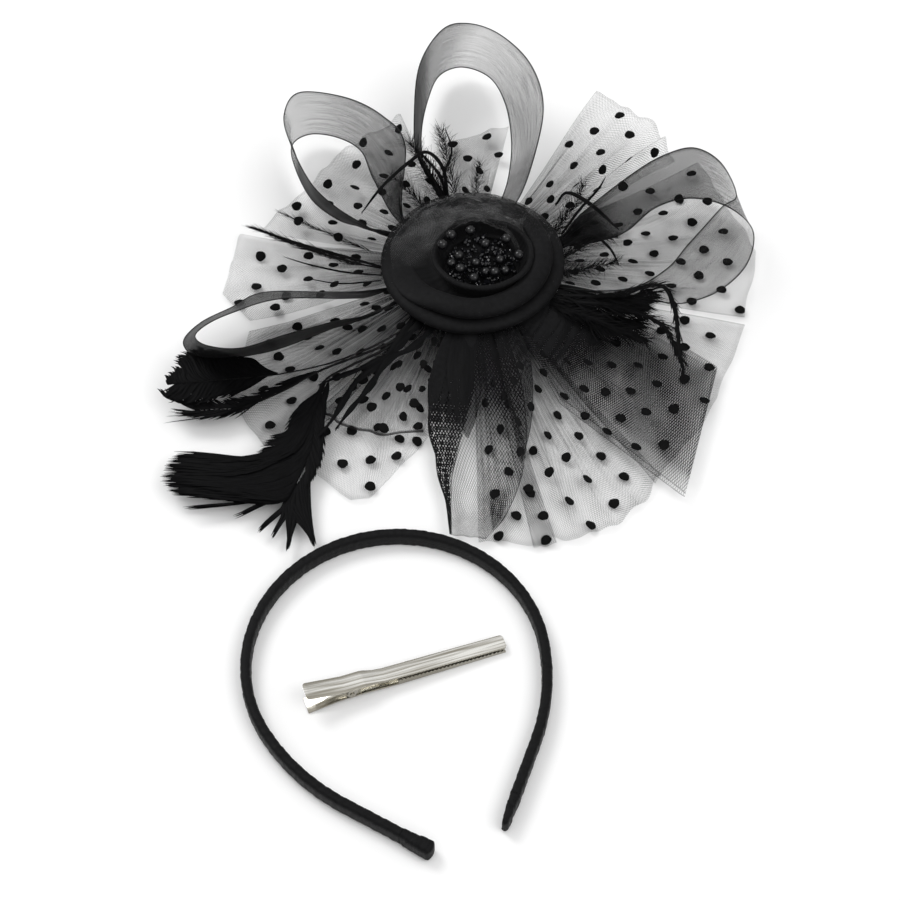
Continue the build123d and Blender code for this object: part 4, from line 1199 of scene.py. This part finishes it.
def veil(name, low, high, inner, outer, rise, seed):
    """Crumpled open mesh heaped at the back of the brim, from one angle to another."""
    dice = np.random.default_rng(seed)
    rows, columns = 150, 60

    def ripples(count, most):
        """Waves in every direction, each with its own two rates, up to most, and its own start."""
        return [
            (dice.uniform(-most, most), dice.uniform(-most, most), dice.uniform(0, 6.28))
            for _ in range(count)
        ]

    def height(set_of, x, y):
        return sum(math.sin(a * x + b * y + start) for a, b, start in set_of) / len(set_of)

    waves, creases = ripples(14, 0.45), ripples(12, 1.5)
    grid = np.zeros((rows, columns, 3))
    for i in range(rows):
        angle = math.radians(low + (high - low) * i / (rows - 1))
        ends = math.sin(math.pi * i / (rows - 1)) ** 0.5
        for j in range(columns):
            share = j / (columns - 1)
            r = inner + (outer - inner) * share + 0.7 * math.sin(9 * angle + 1) * share
            x, y = COLLAR[0] + r * math.cos(angle), COLLAR[1] + r * math.sin(angle)
            bump = height(waves, x, y) + 0.55 * abs(height(creases, x, y))
            grid[i, j] = (x, y, 17.2 + ends * (rise * (1 - share) ** 1.3 + 4.2 * bump))
    grid[:, :, 2] = np.maximum(grid[:, :, 2], 13.6)
    u, v = np.linspace(0, (outer - inner), columns), np.linspace(0, math.radians(high - low) * 32, rows)
    heaps = np.sin(np.linspace(0, 31, rows))[:, None] * np.sin(np.linspace(0, 9, columns))[None, :]
    gather = (0.9 + 0.5 * heaps) * np.sin(np.linspace(0, math.pi, rows))[:, None] ** 0.7
    edge = np.zeros((rows, columns))
    edge[:, -1] = 0.6 * np.sin(np.linspace(0, math.pi, rows))
    piece = woven(name, grid, open_crin, u, v, "crin_mesh", gather, edge)


veil("brim_veil_back", 10, 190, 17.5, 38.5, 4.5, 9)
veil("brim_veil_top", 30, 175, 18.5, 36.0, 6.5, 10)


def cup_section(angle):
    """The cup's wall with its rolled lip, lower at the back."""
    back = (0.5 + 0.5 * math.sin(angle - 0.25)) ** 1.4
    rim = 24.9 - 4.5 * back
    outer = [(17.6, 13.1), (18.6, 16), (19.9, rim - 4), (20.8, rim - 1.6), (21.4, rim - 0.5)]
    lip = [(21.1 + 1.35 * math.cos(a), rim + 1.3 * math.sin(a)) for a in np.linspace(-0.4, 3.5, 12)]
    inner = [(19.2, rim - 2), (18.0, rim - 5), (16.8, 16), (16.2, 14.2)]
    return smooth_line(outer + lip + inner, 60), CUP, 1.2 - 0.55 * back


ring_sheet("cup_wall", cup_section, "cup_mesh", wander=0.35, pleat=0.04, pleats=43, seed=11)


def disc_section(angle):
    """The rumpled lining in the bottom of the cup."""
    turned = 3 * math.sin(angle)
    line = [(r, 14.1 + 0.35 * math.sin(r * 0.9 + turned)) for r in np.linspace(0.2, CUP_RADIUS, 40)]
    return line, CUP, 1.1


ring_sheet("cup_lining", disc_section, "cup_mesh")


def bead_data(centre, size, long, seed):
    """A faceted seed or bugle bead: a short hexagonal barrel with bevelled ends."""
    dice = np.random.default_rng(seed)
    axis = unit(dice.normal(0, 1, 3) + np.array((0, 0, 0.4)))
    side = unit(np.cross(axis, (0.3, 0.9, 0.2)))
    other = np.cross(axis, side)
    rings = [(-long, 0.62), (-long * 0.62, 1.0), (long * 0.62, 1.0), (long, 0.62)]
    points = [
        np.array(centre) + axis * size * h + (side * math.cos(a) + other * math.sin(a)) * size * w
        for h, w in rings
        for a in np.linspace(0, 2 * math.pi, 7)[:-1]
    ]
    faces = grid_faces(4, 6, closed=True) + [tuple(range(6))[::-1], tuple(range(18, 24))]
    return np.array(points), [(p[0], p[1]) for p in points], faces


dice = np.random.default_rng(5)
parts = []
for k in range(230):
    r = 15.6 * math.sqrt(dice.uniform(0, 1))
    a = dice.uniform(0, 2 * math.pi)
    high = 15.1 + dice.uniform(0, 1.0) + 2.2 * dice.uniform(0, 1) ** 2
    spot = (CUP[0] + r * math.cos(a), CUP[1] + r * math.sin(a), high)
    long = 1.6 if dice.uniform() < 0.25 else 0.85
    parts.append(bead_data(spot, dice.uniform(0.6, 0.95), long, 500 + k))
points, uv, faces = merged(parts)
seeds = made("seed_beads_cut", points, faces, seed_glass, uv, smooth=False, slot="seed_bead")
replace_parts(seeds, "seed_beads")


# ------------------------------------------------------------------ felt base
FELT_CELL = 0.5  # spacing of its mesh
FELT_FUZZ = 0.11  # depth of its uneven face


def softened(node, seed):
    """A felt piece: the node's solid meshed evenly, its edges rounded off and its face a little uneven."""
    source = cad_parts[node]
    raw = bpy.data.objects.new(node + "_raw", source.data.copy())
    bpy.context.scene.collection.objects.link(raw)
    raw.matrix_world = source.matrix_world.copy()
    cells = raw.modifiers.new("cells", "REMESH")
    cells.mode = "VOXEL"
    cells.voxel_size = FELT_CELL * MM
    built = bpy.data.meshes.new_from_object(raw.evaluated_get(bpy.context.evaluated_depsgraph_get()))
    points = np.array([tuple(source.matrix_world @ v.co) for v in built.vertices]) / MM
    normals = np.array([tuple(v.normal) for v in built.vertices])
    pairs = np.array([tuple(e.vertices) for e in built.edges])
    faces = [tuple(f.vertices) for f in built.polygons]
    bpy.data.objects.remove(raw)
    degree = np.bincount(pairs.ravel(), minlength=len(points))[:, None]
    dice = np.random.default_rng(seed)
    slow = FELT_FUZZ * np.sin(points @ np.array((0.9, 1.3, 0.4)))[:, None]
    points = points + normals * (dice.normal(0, FELT_FUZZ, (len(points), 1)) + slow)
    for _ in range(3):
        total = np.zeros_like(points)
        np.add.at(total, pairs[:, 0], points[pairs[:, 1]])
        np.add.at(total, pairs[:, 1], points[pairs[:, 0]])
        points = 0.45 * points + 0.55 * total / degree
    points[:, 2] = np.maximum(points[:, 2], 0.02)
    piece = made(node + "_soft", points, faces, felt, slot="felt")
    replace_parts(piece, node)
    return piece


backing = softened("felt_backing", 61)
strap = softened("felt_strap", 62)


# ------------------------------------------------------------------ satin headband
def band_line(step=0.6):
    """Centre line of the headband in plan, from its right tip over the crown to its left tip."""
    half, leg = math.radians(12.0), math.radians(40.0)  # where the crown and the shoulder end
    across = CROWN_RADIUS * math.cos(half) - SHOULDER_RADIUS * (math.cos(half) - math.cos(leg))
    down = CROWN_RADIUS * math.sin(half) + SHOULDER_RADIUS * (math.sin(leg) - math.sin(half))
    x, y = across - LEG_LENGTH * math.sin(leg), -down - LEG_LENGTH * math.cos(leg)
    heading = math.pi / 2 - leg
    points = [(x, y)]
    straight = (LEG_LENGTH, 0.0)
    shoulder = (SHOULDER_RADIUS * (leg - half), 1 / SHOULDER_RADIUS)
    crown = (CROWN_RADIUS * (math.pi + 2 * half), 1 / CROWN_RADIUS)
    for reach, bend in (straight, shoulder, crown, shoulder, straight):
        count = round(reach / step)
        for _ in range(count):
            heading += bend * reach / count / 2
            x += math.cos(heading) * reach / count
            y += math.sin(heading) * reach / count
            heading += bend * reach / count / 2
            points.append((x, y))
    x, y = np.array(points).T
    c, s = math.cos(math.radians(BAND_TURN)), math.sin(math.radians(BAND_TURN))
    return np.stack([BAND_PLACE[0] + x * c - y * s, BAND_PLACE[1] + x * s + y * c], 1)


def sleeve(name, node, line, thick, tall, start, lap, pitch=8.5):
    """Satin wound round the band, rounded in section, with a low step where a turn laps the last."""
    way = turns(line)
    side = np.stack([-way[:, 1], way[:, 0]], 1)
    far = start + distances(line)
    around = np.linspace(0, 2 * math.pi, 37)[:-1]
    c, s = np.cos(around)[None, :], np.sin(around)[None, :]
    turn = far[:, None] / pitch + around[None, :] / (2 * math.pi)
    rise = lap * (1 - turn % 1.0) + 0.05 * np.sin(far[:, None] * 1.7 + 2 * around[None, :])
    rise = rise + 0.03 * np.sin(far[:, None] * 4.3 - around[None, :])
    x = (thick[:, None] / 2 + rise) * np.sign(c) * np.abs(c) ** 0.6
    z = BAND_HEIGHT + (tall[:, None] / 2 + rise) * np.sign(s) * np.abs(s) ** 0.45
    plan = line[:, None] + side[:, None] * x[:, :, None]
    grid = np.dstack([plan, np.maximum(z, 0.03)])
    uv = np.dstack(np.meshgrid(around * 3.4, far))
    rows, sides = turn.shape
    faces = grid_faces(rows, sides, closed=True)
    faces += [tuple(range(sides))[::-1], tuple((rows - 1) * sides + k for k in range(sides))]
    piece = made(name, grid, faces, satin, uv, body="headband", slot="satin")
    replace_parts(piece, node)


band = band_line()
reach = distances(band)
middle = band[(reach >= END_LENGTH) & (reach <= reach[-1] - END_LENGTH)]
whole = np.ones(len(middle))
sleeve("headband_wrap_wound", "headband_wrap", middle, BAND_THICK * whole, BAND_TALL * whole, 0.0, 0.15)
for node, end, wide in (("headband_end_right", 0, 2.6), ("headband_end_left", -1, 6.2)):
    root, tip = middle[end], band[end]
    count = 40
    share = np.linspace(0, 1, count)
    line = root[None] * (1 - share[:, None]) + tip[None] * share[:, None]
    close = np.sqrt(np.clip(1 - np.clip((share - 0.86) / 0.14, 0, 1) ** 2, 0.04, 1))
    thick = (BAND_THICK + (wide - BAND_THICK) * np.clip(share / 0.88, 0, 1)) * close
    sleeve(node + "_folded", node, line, thick, BAND_TALL * (0.55 + 0.45 * close), 3.0, 0.32, 11.0)


# ------------------------------------------------------------------ clip
def edged(node, width, body):
    """Pressed sheet metal: the node's shape with its sheared edges rolled over."""
    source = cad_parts[node]
    work = bmesh.new()
    work.from_mesh(source.data)
    bmesh.ops.remove_doubles(work, verts=work.verts, dist=1e-6)
    bmesh.ops.dissolve_limit(work, angle_limit=math.radians(1.0), verts=work.verts, edges=work.edges)
    sharp = [e for e in work.edges if len(e.link_faces) == 2 and e.calc_face_angle() > math.radians(35)]
    bmesh.ops.bevel(
        work, geom=sharp, offset=width * MM, segments=3, profile=0.5, affect="EDGES", clamp_overlap=True
    )
    bmesh.ops.triangulate(work, faces=[f for f in work.faces if len(f.verts) > 4])
    work.verts.index_update()
    points = np.array([tuple(source.matrix_world @ v.co) for v in work.verts]) / MM
    faces = [tuple(v.index for v in f.verts) for f in work.faces]
    work.free()
    piece = made(node + "_pressed", points, faces, nickel, body=body, slot="nickel")
    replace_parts(piece, node)


edged("clip_upper_jaw", 0.28, "clip_lever")
edged("clip_lower_jaw", 0.22, "clip_base")

# ------------------------------------------------------------------ CAD nodes that stay on show
shown = {
    "buckram_base": buckram,
    "felt_whipstitch": thread,
    "rosette_plate": buckram,
    "pearl_beads": pearl,
    "bead_wires": lacquer,
    "headband_core": plastic,
    "clip_pin": nickel,
    "clip_spring": spring_steel,
}
for node, material in shown.items():
    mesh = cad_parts[node].data
    mesh.materials.clear()
    mesh.materials.append(material)

# ------------------------------------------------------------------ floor, light and camera
floor_mesh = bpy.data.meshes.new("floor")
half = 3.0  # of the floor, in metres
floor_mesh.from_pydata(
    [(-half, -half, 0), (half, -half, 0), (half, half, 0), (-half, half, 0)], [], [(0, 1, 2, 3)]
)
floor_look = Look("floor", Roughness=0.9, Specular_IOR_Level=0.1)
floor_look.colour(floor_look.noise(floor_look.place(), 3.0), grey(0.9), grey(0.92))
floor_mesh.materials.append(floor_look.material)
floor = bpy.data.objects.new("floor", floor_mesh)
bpy.context.scene.collection.objects.link(floor)

scene = bpy.context.scene
world = bpy.data.worlds.new("studio")
world.use_nodes = True
sky = world.node_tree.nodes
direction = sky.new("ShaderNodeTexCoord")
height = sky.new("ShaderNodeSeparateXYZ")
fade = sky.new("ShaderNodeMapRange")
for name, value in (("From Min", 0.0), ("From Max", 0.85), ("To Min", 0.16), ("To Max", 0.95)):
    fade.inputs[name].default_value = value
world.node_tree.links.new(direction.outputs["Generated"], height.inputs[0])
world.node_tree.links.new(height.outputs[2], fade.inputs["Value"])
world.node_tree.links.new(fade.outputs[0], sky["Background"].inputs[1])
sky["Background"].inputs[0].default_value = (1, 1, 1, 1)
scene.world = world


def lamp(name, place, size, power):
    """A soft round light, turned to the middle of what is laid out. Places and sizes are in metres."""
    light = bpy.data.lights.new(name, "AREA")
    light.shape = "DISK"
    light.size = size
    light.energy = power
    lamp_object = bpy.data.objects.new(name, light)
    scene.collection.objects.link(lamp_object)
    lamp_object.location = place
    way = np.subtract((0, -0.06, 0), place)
    tilt = math.acos(-way[2] / np.linalg.norm(way))
    lamp_object.rotation_euler = (tilt, 0, math.atan2(way[1], way[0]) - math.pi / 2)


lamp("key", (-0.75, 0.55, 1.15), 0.7, 8.0)
lamp("fill", (0.8, -0.7, 1.3), 1.1, 7.0)

camera_data = bpy.data.cameras.new("camera")
camera_data.lens = 85
camera_data.sensor_width = 36
camera = bpy.data.objects.new("camera", camera_data)
scene.collection.objects.link(camera)
camera.location = (-0.009744, -0.60807, 0.737237)
camera.rotation_euler = (math.radians(35), 0, 0)  # it looks down at 55 degrees
scene.camera = camera
scene.cycles.transparent_max_bounces = 32
scene.view_settings.view_transform = "Standard"
